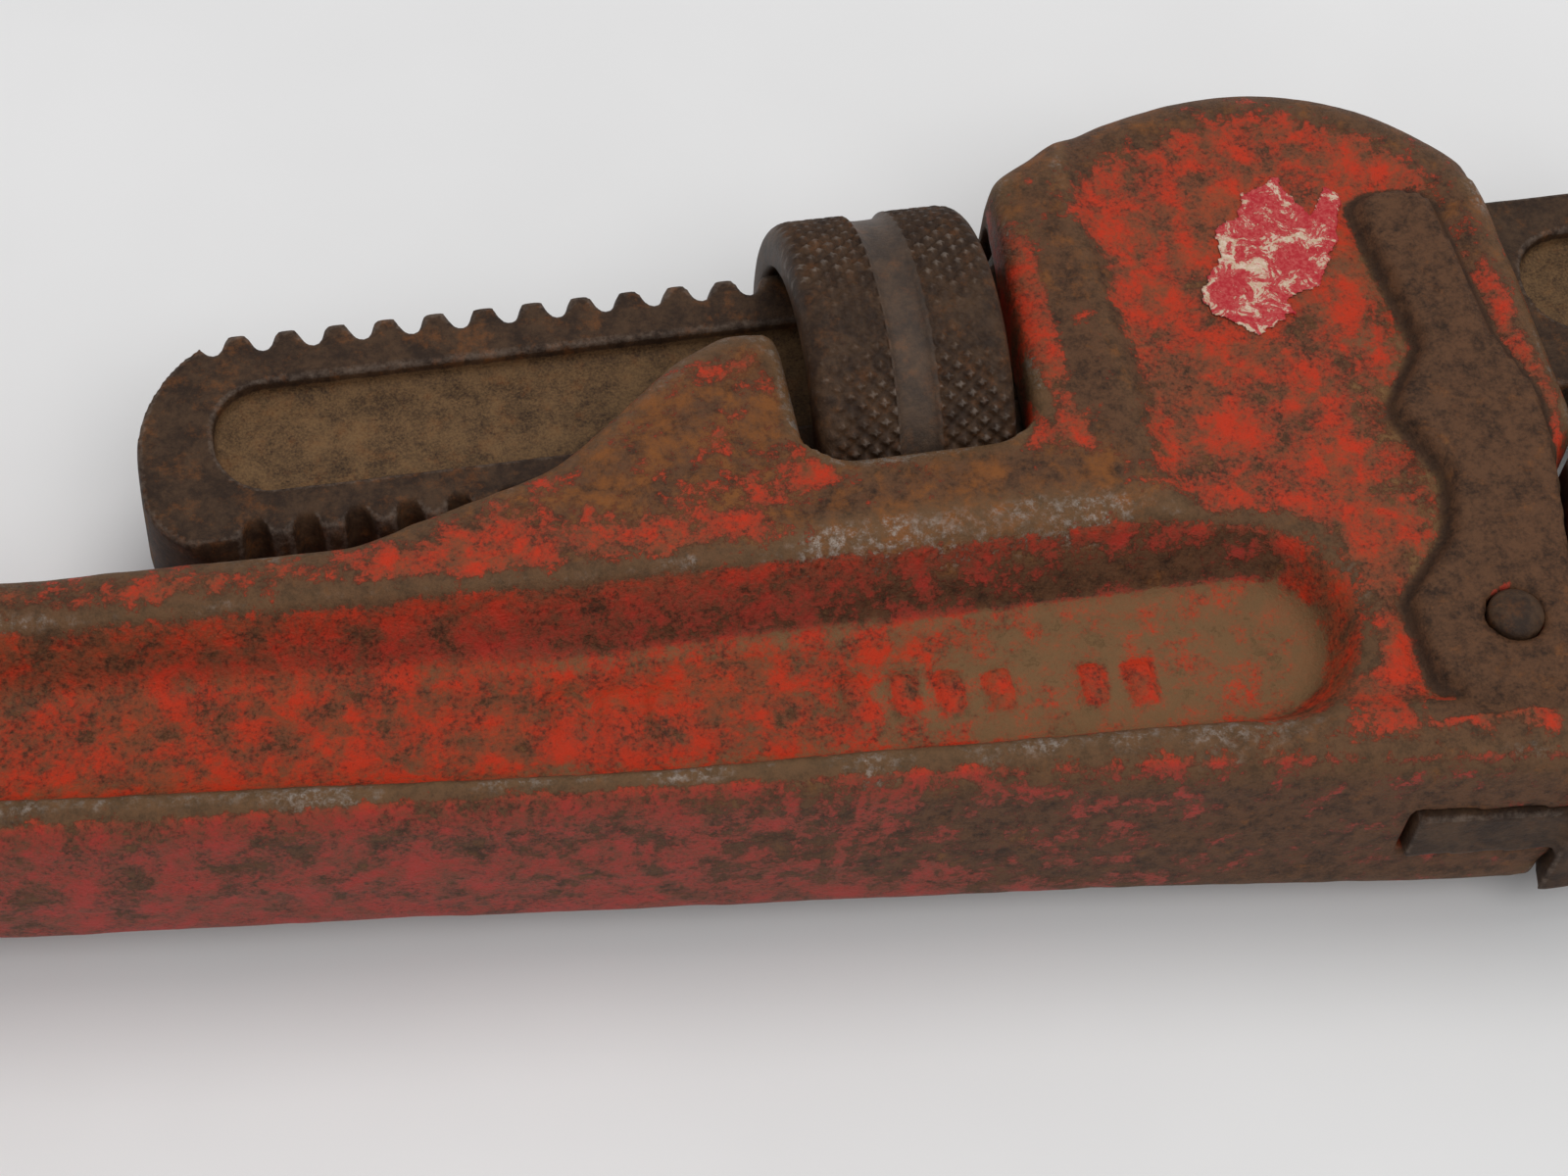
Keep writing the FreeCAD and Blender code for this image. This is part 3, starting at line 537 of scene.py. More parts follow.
def casting_softness(x, y, z):
    """How freely the casting's surface may be rounded: not at its fits, gently at its cheeks."""
    depth = np.abs(z)
    weight = np.ones_like(x)
    passage = (y > -22) & (x > -58)
    weight = np.where(passage, ramp(depth, 7.6, 10.5), weight)
    heel_slot = (x > 54) & (y < -26)
    weight = np.where(heel_slot, np.minimum(weight, ramp(depth, 5.5, 9.0)), weight)
    by_nut = (x > -1.5) & (x < 29) & (np.hypot(y, z) < 24)
    weight = np.where(by_nut, weight * 0.25, weight)
    cheek = (x > 58) & (y > -63) & (y < 12) & (depth > 12.0)
    weight = np.where(cheek, np.minimum(weight, 0.12), weight)
    marks = (y < -34) & (y > -53) & (x > -36) & (x < 40)
    weight = np.where(marks, np.minimum(weight, ramp(depth, 6.6, 8.5)), weight)
    pin_hole = np.hypot(x - PIN[0], y - PIN[1]) < 5
    return np.where(pin_hole, 0.0, weight)


def plan_walls(cad_node, of_cheek):
    """Walls of a CAD node in plan, its outer ones or its raised cheek's, in millimetres.

    They come as starts, ends and outward directions.
    """
    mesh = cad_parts[cad_node].data
    mesh.calc_loop_triangles()
    starts, ends, outward = [], [], []
    for triangle in mesh.loop_triangles:
        normal = triangle.normal
        corners = [(mesh.vertices[index].co - HEAD) / MM for index in triangle.vertices]
        low, high = min(corner.z for corner in corners), max(corner.z for corner in corners)
        raised = low > CHEEK_FOOT or high < -CHEEK_FOOT
        if abs(normal.z) > 0.1 or max(-low, high) < OUTER_WALL or raised != of_cheek:
            continue
        sides = [(a.xy, b.xy) for a, b in zip(corners, corners[1:] + corners[:1])]
        start, end = max(sides, key=lambda side: (side[1] - side[0]).length)
        if (end - start).length > 0.2:
            starts.append(start)
            ends.append(end)
            outward.append(normal.xy.normalized())
    return np.array(starts), np.array(ends), np.array(outward)


def nearest_wall(x, y, walls):
    """Each place's distance to the nearest wall, and that wall's outward direction."""
    starts, ends, outward = walls
    runs = ends - starts
    squares = (runs**2).sum(axis=1)
    best = np.full(len(x), 1e9)
    which = np.zeros(len(x), int)
    for number, (start, run, square) in enumerate(zip(starts, runs, squares)):
        share = np.clip(((x - start[0]) * run[0] + (y - start[1]) * run[1]) / square, 0, 1)
        distance = np.hypot(x - start[0] - share * run[0], y - start[1] - share * run[1])
        closer = distance < best
        best[closer], which[closer] = distance[closer], number
    return best, outward[which]


def side_height(x, y):
    """Half the casting's thickness: lowered round the housing, tapering towards the tail."""
    housing = ramp(x, 39.0, 42.0) * ramp(y, -60.0, -56.0)
    taper = 5.0 / 244.0
    return HALF_HEAD - SIDE_DEPTH * housing - np.maximum(-20.0 - x, 0.0) * taper


def rim_radius(x, y):
    """How round use and casting have left each rim."""
    radius = np.full(len(x), 4.2)
    radius = np.where((x > -3) & (x < 31) & (y > -26), 2.4, radius)
    radius = np.where((x < -1) & (y > -24), 3.6, radius)
    return np.where((x > 25) & (y > 12), 2.4 + 4.6 * ramp(x, 26.0, 36.0), radius)


def round_rims(mesh, walls):
    """Rounds the rims between the casting's sides and its outer walls, and leans those walls inwards."""
    x, y, z = head_places(mesh)
    distance, outward = nearest_wall(x, y, walls)
    radius, height = rim_radius(x, y), side_height(x, y)
    across = radius - distance
    up = np.abs(z) - (height - radius)
    reach = np.hypot(across, up)
    cheek = (x > 54) & (y < 14) & (np.abs(z) > height + 0.4)
    proud = (across > 0) & (up > 0) & (reach > radius) & ~cheek
    share = np.where(proud, radius / np.maximum(reach, 0.001), 1.0)
    inwards = np.where(proud, across - across * share, 0.0)
    z = np.where(proud, np.sign(z) * (height - radius + up * share), z)
    lean = np.tan(np.radians(np.where(z < 0, 6.0 - 3.5 * ramp(x, -60, 30), 2.0)))
    belly = (outward[:, 1] < -0.5) * (y < -20) * (1 - 0.6 * ramp(x, 40, 60))
    back = (outward[:, 1] > 0.5) * (x < -45) * 0.6
    inwards += (belly + back) * np.abs(z) * lean * (1 - ramp(distance, 2.0, 9.0))
    x, y = x - outward[:, 0] * inwards, y - outward[:, 1] * inwards
    move_to(mesh, np.stack([x, y, z], axis=1) * MM + np.array(HEAD))


def build_handle():
    """The casting: an I-section handle with its window, housing, cheeks and eye."""
    piece = copied("handle_casting", "handle", casting_material())
    remesh(piece, sizes().casting_voxel * (1.0))
    walls, cheek_walls = (plan_walls("handle", of_cheek) for of_cheek in (False, True))
    round_rims(piece.data, walls)
    smooth(piece, sizes().casting_rounding, casting_softness(*head_places(piece.data)))
    smooth(piece, 2)
    mesh = piece.data
    x, y, z = head_places(mesh)
    points, normals = places(mesh), directions(mesh)
    height = ridges(mesh, 22)
    lumps = unevenness(points, 11, 1.0) + 0.5 * unevenness(points, 3.2, 2.0)
    shift = lumps * sizes().lumps * casting_softness(x, y, z)
    shift = np.where(shift > 0, shift * 0.5, shift)
    move_to(mesh, points + normals * shift[:, None])
    step_distance = nearest_wall(x, y, cheek_walls)[0]
    sink_round_cheeks(mesh, x, y, z, step_distance)
    paint_casting(mesh, x, y, z, normals, height, nearest_wall(x, y, walls)[0], step_distance)
    fitted(piece, "handle", "handle")


def sink_round_cheeks(mesh, x, y, z, step_distance):
    """A shallow hollow follows the raised cheeks' edge, but not round the pin."""
    side = np.abs(z)
    by_pin = np.hypot(x - PIN[0], y - PIN[1]) < 9
    width, depth = 3.0, 0.7
    sunk = (x > 54) & (side > CHEEK_FOOT) & (side < 14.6 + 0.4 * (y < -58))
    sunk = sunk & (step_distance < width) & ~by_pin
    moved = places(mesh)
    moved[:, 2] -= np.sign(z) * np.where(sunk, depth * (1 - ramp(step_distance, 0.6, width)), 0.0) * MM
    move_to(mesh, moved)


def paint_casting(mesh, x, y, z, normals, height, edge_distance, step_distance):
    """Where the casting is worn, rusty and dirty, where grime stains it, and where shade is painted into
    its hollows and along the cheeks' step.

    Height is how far a vertex stands above its surroundings. The two distances are those to the
    casting's edge in plan and to the raised cheeks' edge.
    """
    side = np.abs(z)
    top = ramp(side, 8.5, 12)
    ridge = ramp(height, 0.04, 0.55)
    hollow = ramp(-height, 0.05, 0.60)
    belly = ramp(-normals[:, 1], 0.45, 0.85) * ramp(-y, 24, 32) * ramp(-normals[:, 1] * 15 - y, 40, 48)
    crest, rib, hump = (near(x, y, zone) * top for zone in (UPPER_CREST, WINDOW_RIB, FORK_HUMP))
    cheek = ((x > 60) & (y > -61) & (y < 10) & (side > 14.3)).astype(float)
    cheek_edge = near(x, y, CHEEK_SIDE) * (side < 14.3) * top
    rim = (1 - ramp(edge_distance, 4.0, 14.0)) * ramp(y, -12, 4) * ramp(x, 26, 34)
    stripe = near(x, y, RED_STRIPE) * ramp(side, 5, 9)
    facing = ramp(normals[:, 2] * np.sign(z), 0.2, 0.6)
    low_crest = (1 - ramp(edge_distance, 2.0, 9.5)) * ramp(-y, 30, 40) * top * facing
    back_edge = ramp(y - 0.09 * (x + 50), -28, -23) * (x < -40) * top
    wear = 0.26 + 0.74 * ridge - 0.35 * hollow
    dome_top = ramp(y, 16, 26) * ramp(x, 30, 38)
    for worn in (0.84 * crest + 0.25 * ridge, 0.84 * rib, 0.72 * low_crest, 0.66 * hump,
                 1.2 * cheek, 0.78 * rim, 0.45 * dome_top, 0.45 * back_edge):
        wear = np.maximum(wear, worn)
    lower = ramp(-z, 4, 10)
    bare_belly = 0.34 + 0.36 * ramp(x, -50, 55) - 0.22 * lower * (1 - ramp(x, 0, 60))
    wear = np.maximum(wear * (1 - belly), bare_belly * belly)
    wear = np.maximum(wear, 0.38 * cheek_edge)
    wear = wear * (1 - 0.9 * stripe)
    passage = (side < PASSAGE_HALF) & (y > -16.5) & (x > -60)
    wear = np.where(passage, 1.0, wear)
    web = 1 - ramp(side, 6.5, 9.5)
    marks = (side > 5.95) & (side < 6.8) & (y < -36) & (y > -52) & (x > -33) & (x < 36)
    web_end = near(x, y, WEB_END) * web
    dirt = (0.35 * hollow + 0.55 * web_end + 0.30 * web * ramp(x, -60, 10)
            + 0.30 * cheek_edge * (y > -42))
    dirt = dirt * (1 - stripe)
    dirt = np.where(passage, 0.30, np.where(belly > 0.5, 0.0, dirt))
    wear, dirt = np.where(marks, 0.0, wear), np.where(marks, 0.15, dirt)
    rust = 0.60 * hump + 0.50 * crest + 0.10 * rib + 0.35 * rim + 0.3 * cheek_edge
    # Along the cheeks' step the casting is made bare iron and darkened, and its hollows are darkened too:
    # painted shade where they get less light, with some grime.
    step = (1 - ramp(step_distance, 0.5, 2.2)) * (x > 54) * (side > 11) * (1 - 0.6 * cheek)
    wear = np.maximum(wear, 0.9 * step)
    grime = 0.85 * step + 0.5 * ramp(-height, 0.25, 0.8) * (side > 7)
    # Rubbed ridges and the crest band: bare iron lightened towards tan dust, and the mask of the painted
    # glints (painted highlight).
    rubbed = np.maximum(ridge, 0.95 * near(x, y, RUBBED_GLINT_CREST) * top) * (side > 9) * (1 - cheek)
    paint(mesh, wear=wear, dirt=dirt, rust=rust, belly=belly, ridge=rubbed, grime=grime)


def build_jaw(name, cad_node, body, dirt_zone, rust_share):
    """A jaw with its edges rounded and rubbed."""
    tint = colours()
    metal = aged_metal(name + "_steel", tint.dark, tint.forged, rust_share, 0.58, 0.22)
    piece = copied(name, cad_node, metal)
    remesh(piece, sizes().jaw_voxel * (1.0))
    smooth(piece, sizes().jaw_rounding)
    mesh = piece.data
    x, y, z = head_places(mesh)
    points, normals = places(mesh), directions(mesh)
    height = ridges(mesh, 8)
    lumps = unevenness(points, 4.0, 5.0) * 0.06 * MM
    move_to(mesh, points + normals * np.minimum(lumps, 0.0)[:, None])
    # The jaws' rubbed edges lighten towards rubbed metal, partly as painted glints.
    paint(mesh, wear=ramp(height, 0.02, 0.16), dirt=dirt_zone(x, y, z), polish=0.0)
    fitted(piece, body, cad_node)


def shank_dirt(x, y, z):
    """Dirt lies on the floor of the shank's pocket and between its teeth."""
    pocket = (np.abs(z) < 5.2) & (np.abs(z) > 2.5) & (y > -9) & (y < 8) & (x < 109)
    gaps = (np.abs(y) > 12.4) & (np.abs(y) < 14.0) & (x < 44)
    return 0.62 * pocket + 0.2 * gaps


def heel_dirt(_x, _y, z):
    """A thin film of dirt, but not on the heel jaw's flanks."""
    return 0.1 * (np.abs(z) < 12)


def knurl(along, angle):
    """Height of the diamond pattern, from 0 in its grooves to 1 on its rubbed tops."""
    around = sizes().knurl_around
    length = 2.5
    turns = angle / (2 * math.pi) * around
    both = [np.abs(2 * np.mod(turns + sign * along / length, 1.0) - 1) for sign in (1, -1)]
    return np.minimum(np.minimum(1 - both[0], 1 - both[1]) / 0.62, 1.0)


def nut_rows():
    """The nut's section as (place along it, radius, kind), once round, in millimetres."""
    length = (NUT_HIGH.x - NUT_LOW.x) / MM
    rounding, groove, step = 2.6, 0.75, 0.26
    bands = ((rounding, 8.87), (13.7, length - rounding))
    mouth = THREAD_ROOT + MOUTH_DEPTH
    rows = [(0.0, mouth, "face"), (0.0, (mouth + NUT_RADIUS - rounding) / 2, "face")]
    arc = [(rounding * (1 - math.cos(turn)), NUT_RADIUS - rounding * (1 - math.sin(turn)))
           for turn in np.linspace(0, math.pi / 2, 9)]
    rows += [(inset, radius, "round") for inset, radius in arc]
    rows += [(x, NUT_RADIUS, "knurl") for x in np.arange(bands[0][0] + step, bands[0][1], step)]
    middle = (bands[0][1] + bands[1][0]) / 2
    half = middle - bands[0][1]
    for share in np.linspace(-1, 1, 15):
        dip = groove * (1 - share**4) ** 0.7
        rows.append((middle + half * share, NUT_RADIUS - 0.05 - dip, "groove"))
    rows += [(x, NUT_RADIUS, "knurl") for x in np.arange(bands[1][0] + step, bands[1][1], step)]
    rows += [(length - inset, radius, "round") for inset, radius in reversed(arc)]
    rows += [(length, (mouth + NUT_RADIUS - rounding) / 2, "face"), (length, mouth, "face")]
    rows += [(x, THREAD_ROOT, "thread") for x in np.arange(length - 0.2, 0.1, -0.36)]
    return rows


def bore_radius(along, angle, length):
    """The threaded bore: a helical groove between rounded crests, with a wide mouth at each end."""
    half_tip, flank = 1.4, 0.404
    start = FIRST_TOOTH - NUT_START
    turn = np.mod((along - start) / PITCH - angle / (2 * math.pi) + 0.5, 1.0) - 0.5
    from_groove = np.abs(turn) * PITCH
    slope = THREAD_CREST - np.maximum(from_groove - half_tip, 0) / flank
    thread = np.clip(slope, THREAD_ROOT, THREAD_CREST)
    mouth = THREAD_ROOT + MOUTH_DEPTH - np.minimum(along, length - along)
    return np.maximum(thread, mouth)


def build_nut():
    """The heel nut: two knurled bands with a rubbed groove between them, and a threaded bore."""
    tint = colours()
    length = (NUT_HIGH.x - NUT_LOW.x) / MM
    rows = nut_rows()
    steps_per_diamond, noise_reach = 6, 20
    around = sizes().knurl_around * steps_per_diamond
    angle = np.arange(around) * 2 * math.pi / around
    depth = sizes().knurl_depth / MM
    rings, wear, dirt, polish = [], [], [], []
    for along, radius, kind in rows:
        reach = np.full(around, radius)
        place = [np.full(around, along), np.cos(angle) * noise_reach, np.sin(angle) * noise_reach]
        rub = np.clip(0.5 + 0.7 * unevenness(np.stack(place, axis=1) * MM, 9, 7.0), 0, 1)
        from_top = np.mod(angle + math.pi, 2 * math.pi) - math.pi
        rub = np.maximum(rub, 1.5 * np.exp(-((from_top / 0.95) ** 2)))
        tops = knurl(along, angle)
        raised = kind in ("knurl", "round")
        if kind == "thread":
            reach = bore_radius(along, angle, length)
        elif raised:
            share = 1.0 if kind == "knurl" else ramp(np.array(radius), NUT_RADIUS - 0.9, NUT_RADIUS)
            reach = radius - depth * share * (1 - tops) * (1 - 0.6 * rub)
        ring = [np.full(around, along), np.cos(angle) * reach, np.sin(angle) * reach]
        rings.append(np.stack(ring, axis=1))
        # Worn diamond tops feed the rubbed-metal lightening, which is partly painted glints.
        wear.append(0.30 + 0.75 * ramp(tops, 0.6, 1.0) * (1.3 - rub) if raised else np.full(around, 0.35))
        dirt.append(np.full(around, 0.0 if raised else 0.05))
        polish.append(np.full(around, 0.10 if kind == "groove" else 0.0))
    points = np.concatenate(rings) * MM + np.array((NUT_LOW.x, AXIS_Y, 0.0))
    faces = []
    for row in range(len(rows)):
        after = (row + 1) % len(rows)
        for step in range(around):
            following = (step + 1) % around
            faces.append((row * around + step, row * around + following,
                          after * around + following, after * around + step))
    mesh = bpy.data.meshes.new("heel_nut_knurled")
    mesh.from_pydata(points.tolist(), [], faces)
    mesh.shade_smooth()
    metal = aged_metal("nut_iron", tint.dark, tint.forged, 0.25, 0.48, 0.30)
    piece = add_object("heel_nut_knurled", mesh, metal)
    paint(mesh, wear=np.concatenate(wear), dirt=np.concatenate(dirt), polish=np.concatenate(polish))
    fitted(piece, "heel_nut", "heel_nut")


def build_pin():
    """The heel jaw's pin, its two ends hammered into low domes."""
    tint = colours()
    low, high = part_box("heel_jaw_pin")
    radius, half = (high.x - low.x) / 2, (high.z - low.z) / 2
    centre = ((low.x + high.x) / 2, (low.y + high.y) / 2, 0)
    dome = 1.3 * MM
    arc = [(radius * math.sin(a), half - dome * (1 - math.cos(a)))
           for a in np.linspace(0, math.pi / 2, 12)]
    profile = [(r, -h) for r, h in arc] + [(r, h) for r, h in reversed(arc)]
    metal = aged_metal("pin_steel", tint.dark, tint.forged, 0.25, 0.45, 0.2)
    piece = turned("heel_jaw_pin_domed", profile, centre, (0, 0, 1), 48, metal)
    points = places(piece.data)
    paint(piece.data, wear=0.6 * ramp(np.abs(points[:, 2]) / MM, 15.4, 16.1), dirt=0.0, polish=0.0)
    fitted(piece, "handle", "heel_jaw_pin")


def spring_metal():
    """Dark spring steel, rubbed a little."""
    tint = colours()
    return aged_metal("spring_steel", tint.dark, tint.brown, 0.3, 0.45, 0.5)


def build_springs():
    """The leaf on the shank's back, its rivet, and the coil above it."""
    metal = spring_metal()
    leaf = copied("leaf_spring", "flat_spring", metal)
    bevel = leaf.modifiers.new("edges", "BEVEL")
    bevel.width, bevel.segments, bevel.limit_method = 0.15 * MM, 2, "ANGLE"
    settle(leaf)
    paint(leaf.data, wear=0.3, dirt=0.1, polish=0.1)
    fitted(leaf, "spring_shoe", "flat_spring")

    low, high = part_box("spring_rivet")
    radius, length = (high.x - low.x) / 2, high.y - low.y
    shank, head = 1.6 * MM, 1.3 * MM
    dome = [(radius * math.sin(a), length - head + head * math.cos(a))
            for a in np.linspace(0, math.pi / 2, 8)]
    profile = [(0, 0), (shank * 0.8, 0), (shank, 0.2 * MM), (shank, length - head), *reversed(dome)]
    rivet = turned("leaf_rivet", profile, ((low.x + high.x) / 2, low.y, 0), (0, 1, 0), 32, metal)
    paint(rivet.data, wear=0.4, dirt=0.0, polish=0.1)
    fitted(rivet, "spring_shoe", "spring_rivet")

    coil = build_coil(metal)
    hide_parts("coil_spring")


def build_coil(metal):
    """Round wire on a helix between the leaf and the roof of its room."""
    low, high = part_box("coil_spring")
    wire, turns, steps, sides = 0.6 * MM, 3.5, 30, 10
    radius = (high.z - low.z) / 2 - wire
    centre_x, start, end = SPRING_X * MM + HEAD.x, low.y + wire, high.y - wire
    rings = []
    count = int(turns * steps) + 1
    for step in range(count):
        turn = 2 * math.pi * step / steps
        outward = Vector((math.cos(turn), 0, -math.sin(turn)))
        height = start + (end - start) * step / (count - 1)
        middle = Vector((centre_x, height, 0)) + outward * radius
        rings.append([
            middle + outward * (wire * math.cos(a)) + Vector((0, wire * math.sin(a), 0))
            for a in (2 * math.pi * side / sides for side in range(sides))
        ])
    work = bmesh.new()
    made = [[work.verts.new(point) for point in ring] for ring in rings]
    for ring, following in zip(made, made[1:]):
        for side in range(sides):
            after = (side + 1) % sides
            work.faces.new((ring[side], following[side], following[after], ring[after]))
    work.faces.new(made[0])
    work.faces.new(list(reversed(made[-1])))
    bmesh.ops.recalc_face_normals(work, faces=work.faces)
    mesh = bpy.data.meshes.new("coil_wire")
    work.to_mesh(mesh)
    work.free()
    mesh.shade_smooth()
    coil = add_object("coil_wire", mesh, metal)
    paint(mesh, wear=0.3, dirt=0.0, polish=0.15)
    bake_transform(coil)
    return coil


def label_corners():
    """The torn label's outline, taken from the upper face of its CAD node."""
    work = bmesh.new()
    work.from_mesh(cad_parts["label_remnant"].data)
    bmesh.ops.remove_doubles(work, verts=work.verts, dist=SEAM)
    level = max(vert.co.z for vert in work.verts) - 10 * SEAM
    upper = [face for face in work.faces if all(vert.co.z > level for vert in face.verts)]
    rim = [edge for face in upper for edge in face.edges
           if sum(other in upper for other in edge.link_faces) == 1]
    here, path = rim[0].verts[0], []
    left = set(rim)
    while left:
        path.append((here.co.x, here.co.y))
        side = next(edge for edge in here.link_edges if edge in left)
        left.remove(side)
        here = side.other_vert(here)
    work.free()
    return path


def inside(x, y, corners):
    """Whether a place lies within a closed outline."""
    crossed = False
    for (x1, y1), (x2, y2) in zip(corners, corners[1:] + corners[:1]):
        if (y1 > y) != (y2 > y) and x < (x2 - x1) * (y - y1) / (y2 - y1) + x1:
            crossed = not crossed
    return crossed


def build_label():
    """What is left of a paper label: ragged edges, lying on the casting and lifting a little."""
    corners = label_corners()
    low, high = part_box("label_remnant")
    casting = bpy.data.objects["handle_casting"].data
    surface = BVHTree.FromPolygons(
        [vert.co for vert in casting.vertices], [tuple(face.vertices) for face in casting.polygons])
    cell, thickness, above, rag_size = 0.28 * MM, 0.12 * MM, 10 * MM, 0.45 * MM
    columns, rows = (int((high[axis] - low[axis]) / cell) + 2 for axis in (0, 1))
    work = bmesh.new()
    verts = {}
    for column in range(columns):
        for row in range(rows):
            x, y = low.x + (column + 0.5) * cell, low.y + (row + 0.5) * cell
            rag = noise.noise_vector(Vector((x, y, 0)) / (1.1 * MM)) * rag_size
            if not inside(x + rag.x, y + rag.y, corners):
                continue
            quad = []
            for across, up in ((0, 0), (1, 0), (1, 1), (0, 1)):
                key = (column + across, row + up)
                if key not in verts:
                    px, py = low.x + key[0] * cell, low.y + key[1] * cell
                    hit = surface.ray_cast(Vector((px, py, high.z + above)), Vector((0, 0, -1)))[0]
                    lift = 0.10 + 0.12 * noise.noise(Vector((px, py, 1)) / (4 * MM))
                    verts[key] = work.verts.new((px, py, hit.z + lift * MM))
                quad.append(verts[key])
            work.faces.new(quad)
    bmesh.ops.smooth_vert(
        work, verts=work.verts, factor=0.5, use_axis_x=True, use_axis_y=True, use_axis_z=True)
    mesh = bpy.data.meshes.new("label_paper")
    work.to_mesh(mesh)
    work.free()
    mesh.shade_smooth()
    piece = add_object("label_paper", mesh, label_material())
    plate = piece.modifiers.new("thickness", "SOLIDIFY")
    plate.thickness, plate.offset = thickness, 1.0
    settle(piece)
    fitted(piece, "handle", "label_remnant")


# ---------------------------------------------------------------- stage

# Soft lamps: name, place from the head point in metres, power in watts and colour
LAMPS = (
    ("overhead", (0.45, 0.30, 1.85), 8.5, (1.0, 0.98, 0.95)),
    ("front_fill", (0.3, -0.9, 1.5), 7.0, (0.99, 0.98, 0.97)),
)
CAMERA_PLACE, CAMERA_AIM = (-63.17, -213.0, 303.7), (-2.43, -25.2, 0)
CAMERA_LENS, CAMERA_ROLL = 74.25, 7.77


def add_light(name, offset, power, colour):
    """A round lamp, one metre wide, that looks at the head point."""
    lamp = bpy.data.lights.new(name, "AREA")
    lamp.shape, lamp.size, lamp.energy, lamp.color = "DISK", 1.0, power, colour
    obj = bpy.data.objects.new(name, lamp)
    obj.location = HEAD + Vector(offset)
    obj.rotation_euler = (-Vector(offset)).to_track_quat("-Z", "Y").to_euler()
    bpy.context.scene.collection.objects.link(obj)


def build_stage():
    """Pale board under the wrench, soft light from above and from the front, and the camera."""
    reach, level = 2.5, -NUT_RADIUS * MM
    work = bmesh.new()
    bmesh.ops.create_grid(work, x_segments=8, y_segments=8, size=reach)
    bmesh.ops.translate(work, verts=work.verts, vec=(HEAD.x, 0, level))
    mesh = bpy.data.meshes.new("board")
    work.to_mesh(mesh)
    work.free()
    add_object("board", mesh, table_material())

    world = bpy.data.worlds.new("room")
    world.use_nodes = True
    sky = world.node_tree.nodes["Background"]
    sky.inputs["Color"].default_value = (0.97, 0.98, 1.0, 1.0)
    sky.inputs["Strength"].default_value = 0.54
    bpy.context.scene.world = world
    bpy.context.scene.view_settings.view_transform = "Standard"
    for name, offset, power, colour in LAMPS:
        add_light(name, offset, power, colour)

    camera = bpy.data.objects.new("camera", bpy.data.cameras.new("camera"))
    camera.data.lens = CAMERA_LENS
    place, aim = (HEAD + Vector(spot) * MM for spot in (CAMERA_PLACE, CAMERA_AIM))
    roll = Matrix.Rotation(math.radians(CAMERA_ROLL), 3, "Z")
    turn = (aim - place).to_track_quat("-Z", "Y").to_matrix() @ roll
    camera.matrix_world = Matrix.Translation(place) @ turn.to_4x4()
    bpy.context.scene.collection.objects.link(camera)
    bpy.context.scene.camera = camera


# ---------------------------------------------------------------- operators

class WRENCH_OT_stage(bpy.types.Operator):
    """Add the board, the lights and the camera"""

    bl_idname = "wrench.stage"
    bl_label = "Stage"

    def execute(self, context):
        build_stage()
        return {"FINISHED"}


class WRENCH_OT_handle(bpy.types.Operator):
    """Build the worn red casting of the handle and housing"""

    bl_idname = "wrench.handle"
    bl_label = "Handle"

    def execute(self, context):
        build_handle()
        return {"FINISHED"}


class WRENCH_OT_jaws(bpy.types.Operator):
    """Build the hook jaw and the heel jaw"""

    bl_idname = "wrench.jaws"
    bl_label = "Jaws"

    def execute(self, context):
        build_jaw("hook_jaw_forged", "hook_jaw", "hook_jaw", shank_dirt, 0.35)
        build_jaw("heel_jaw_block", "heel_jaw", "handle", heel_dirt, 0.10)
        return {"FINISHED"}


class WRENCH_OT_nut(bpy.types.Operator):
    """Build the knurled heel nut with its threaded bore"""

    bl_idname = "wrench.nut"
    bl_label = "Heel nut"

    def execute(self, context):
        build_nut()
        return {"FINISHED"}


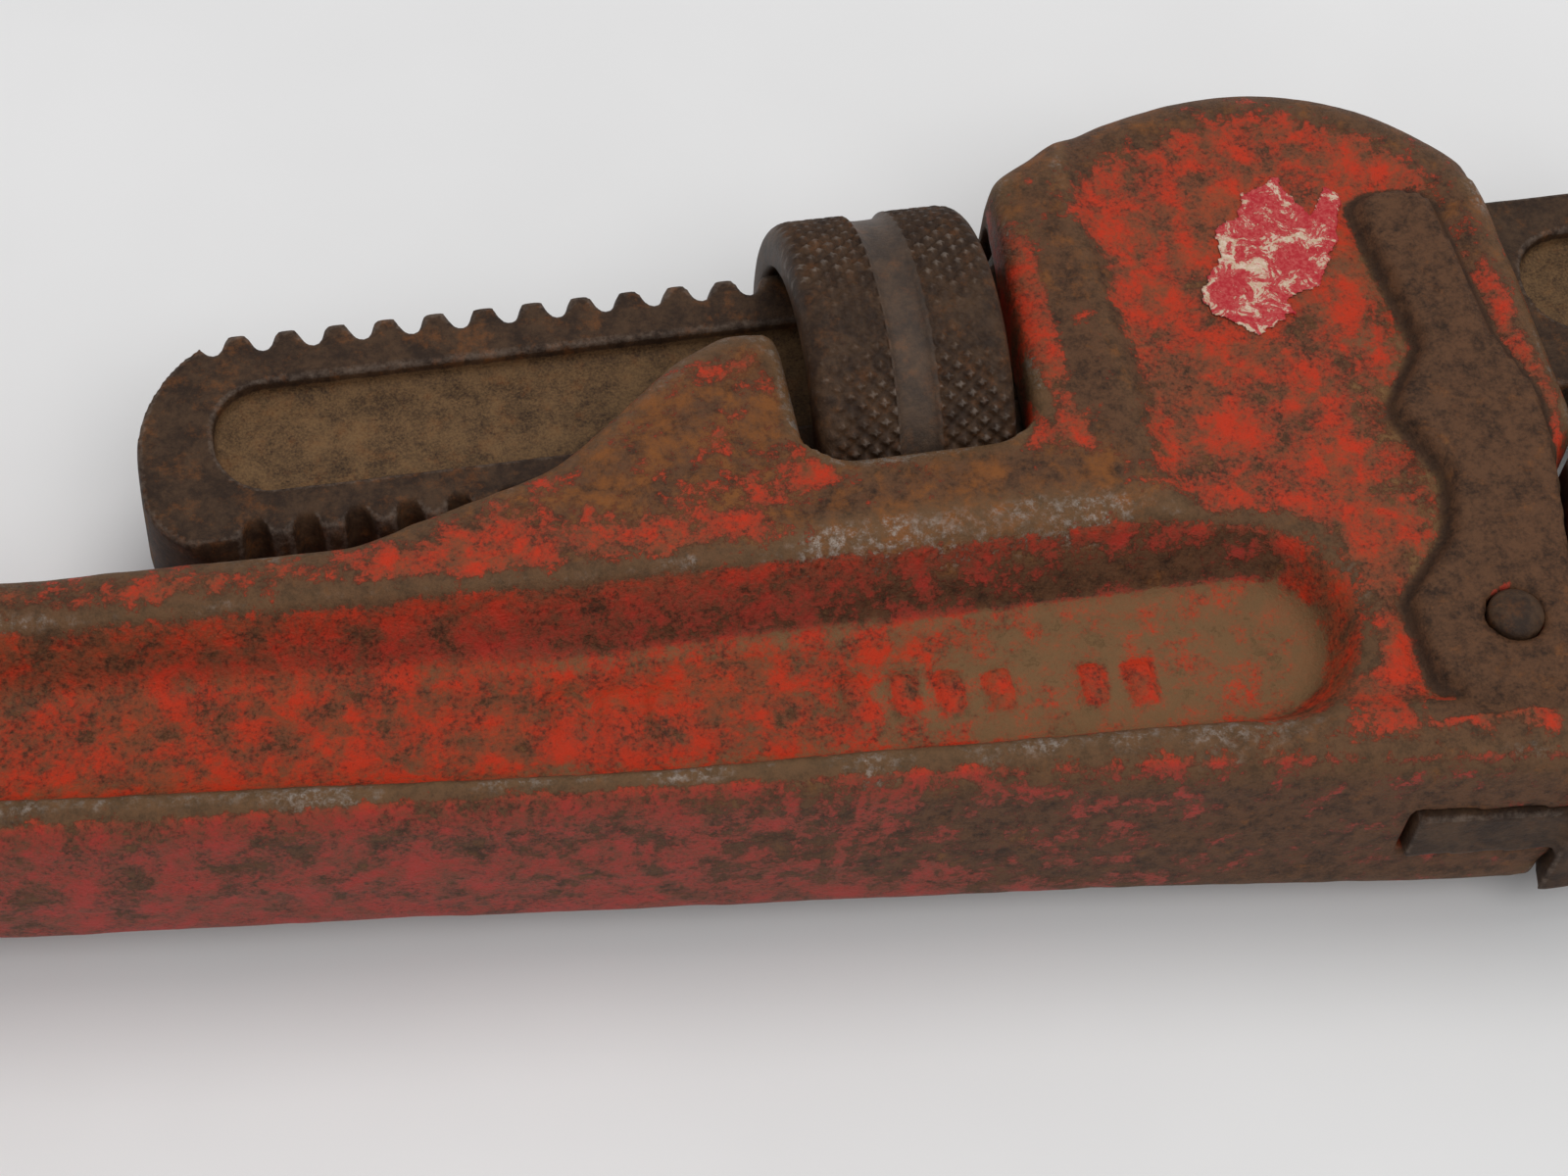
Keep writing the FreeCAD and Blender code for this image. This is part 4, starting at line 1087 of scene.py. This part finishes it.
class WRENCH_OT_pin(bpy.types.Operator):
    """Build the domed pin of the heel jaw"""

    bl_idname = "wrench.pin"
    bl_label = "Heel jaw pin"

    def execute(self, context):
        build_pin()
        return {"FINISHED"}


class WRENCH_OT_springs(bpy.types.Operator):
    """Build the leaf spring, its rivet and the coil spring"""

    bl_idname = "wrench.springs"
    bl_label = "Springs"

    def execute(self, context):
        build_springs()
        return {"FINISHED"}


class WRENCH_OT_label(bpy.types.Operator):
    """Build the torn remnant of the paper label"""

    bl_idname = "wrench.label"
    bl_label = "Label"

    def execute(self, context):
        build_label()
        return {"FINISHED"}


class WRENCH_PT_panel(bpy.types.Panel):
    """Sizes, colours and building steps of the wrench"""

    bl_idname = "WRENCH_PT_panel"
    bl_label = "Pipe wrench"
    bl_space_type = "VIEW_3D"
    bl_region_type = "UI"
    bl_category = "Wrench"

    def draw(self, context):
        for group in (context.scene.wrench_sizes, context.scene.wrench_colours):
            box = self.layout.box()
            for name in group.bl_rna.properties.keys():
                if name not in ("rna_type", "name"):
                    box.prop(group, name)
        for operator in OPERATORS:
            self.layout.operator(operator.bl_idname)


OPERATORS = (
    WRENCH_OT_stage, WRENCH_OT_handle, WRENCH_OT_jaws, WRENCH_OT_nut, WRENCH_OT_pin, WRENCH_OT_springs,
    WRENCH_OT_label,
)
CLASSES = (WrenchSizes, WrenchColours, *OPERATORS, WRENCH_PT_panel)


def register():
    """Adds the classes and the scene's settings."""
    for cls in CLASSES:
        bpy.utils.register_class(cls)
    bpy.types.Scene.wrench_sizes = PointerProperty(type=WrenchSizes)
    bpy.types.Scene.wrench_colours = PointerProperty(type=WrenchColours)


def unregister():
    """Takes the settings and the classes away again."""
    del bpy.types.Scene.wrench_colours
    del bpy.types.Scene.wrench_sizes
    for cls in reversed(CLASSES):
        bpy.utils.unregister_class(cls)


def main():
    """Builds the stage and every piece."""
    register()
    bpy.ops.wrench.stage()
    bpy.ops.wrench.handle()
    bpy.ops.wrench.jaws()
    bpy.ops.wrench.nut()
    bpy.ops.wrench.pin()
    bpy.ops.wrench.springs()
    bpy.ops.wrench.label()


if __name__ == "__main__":
    main()
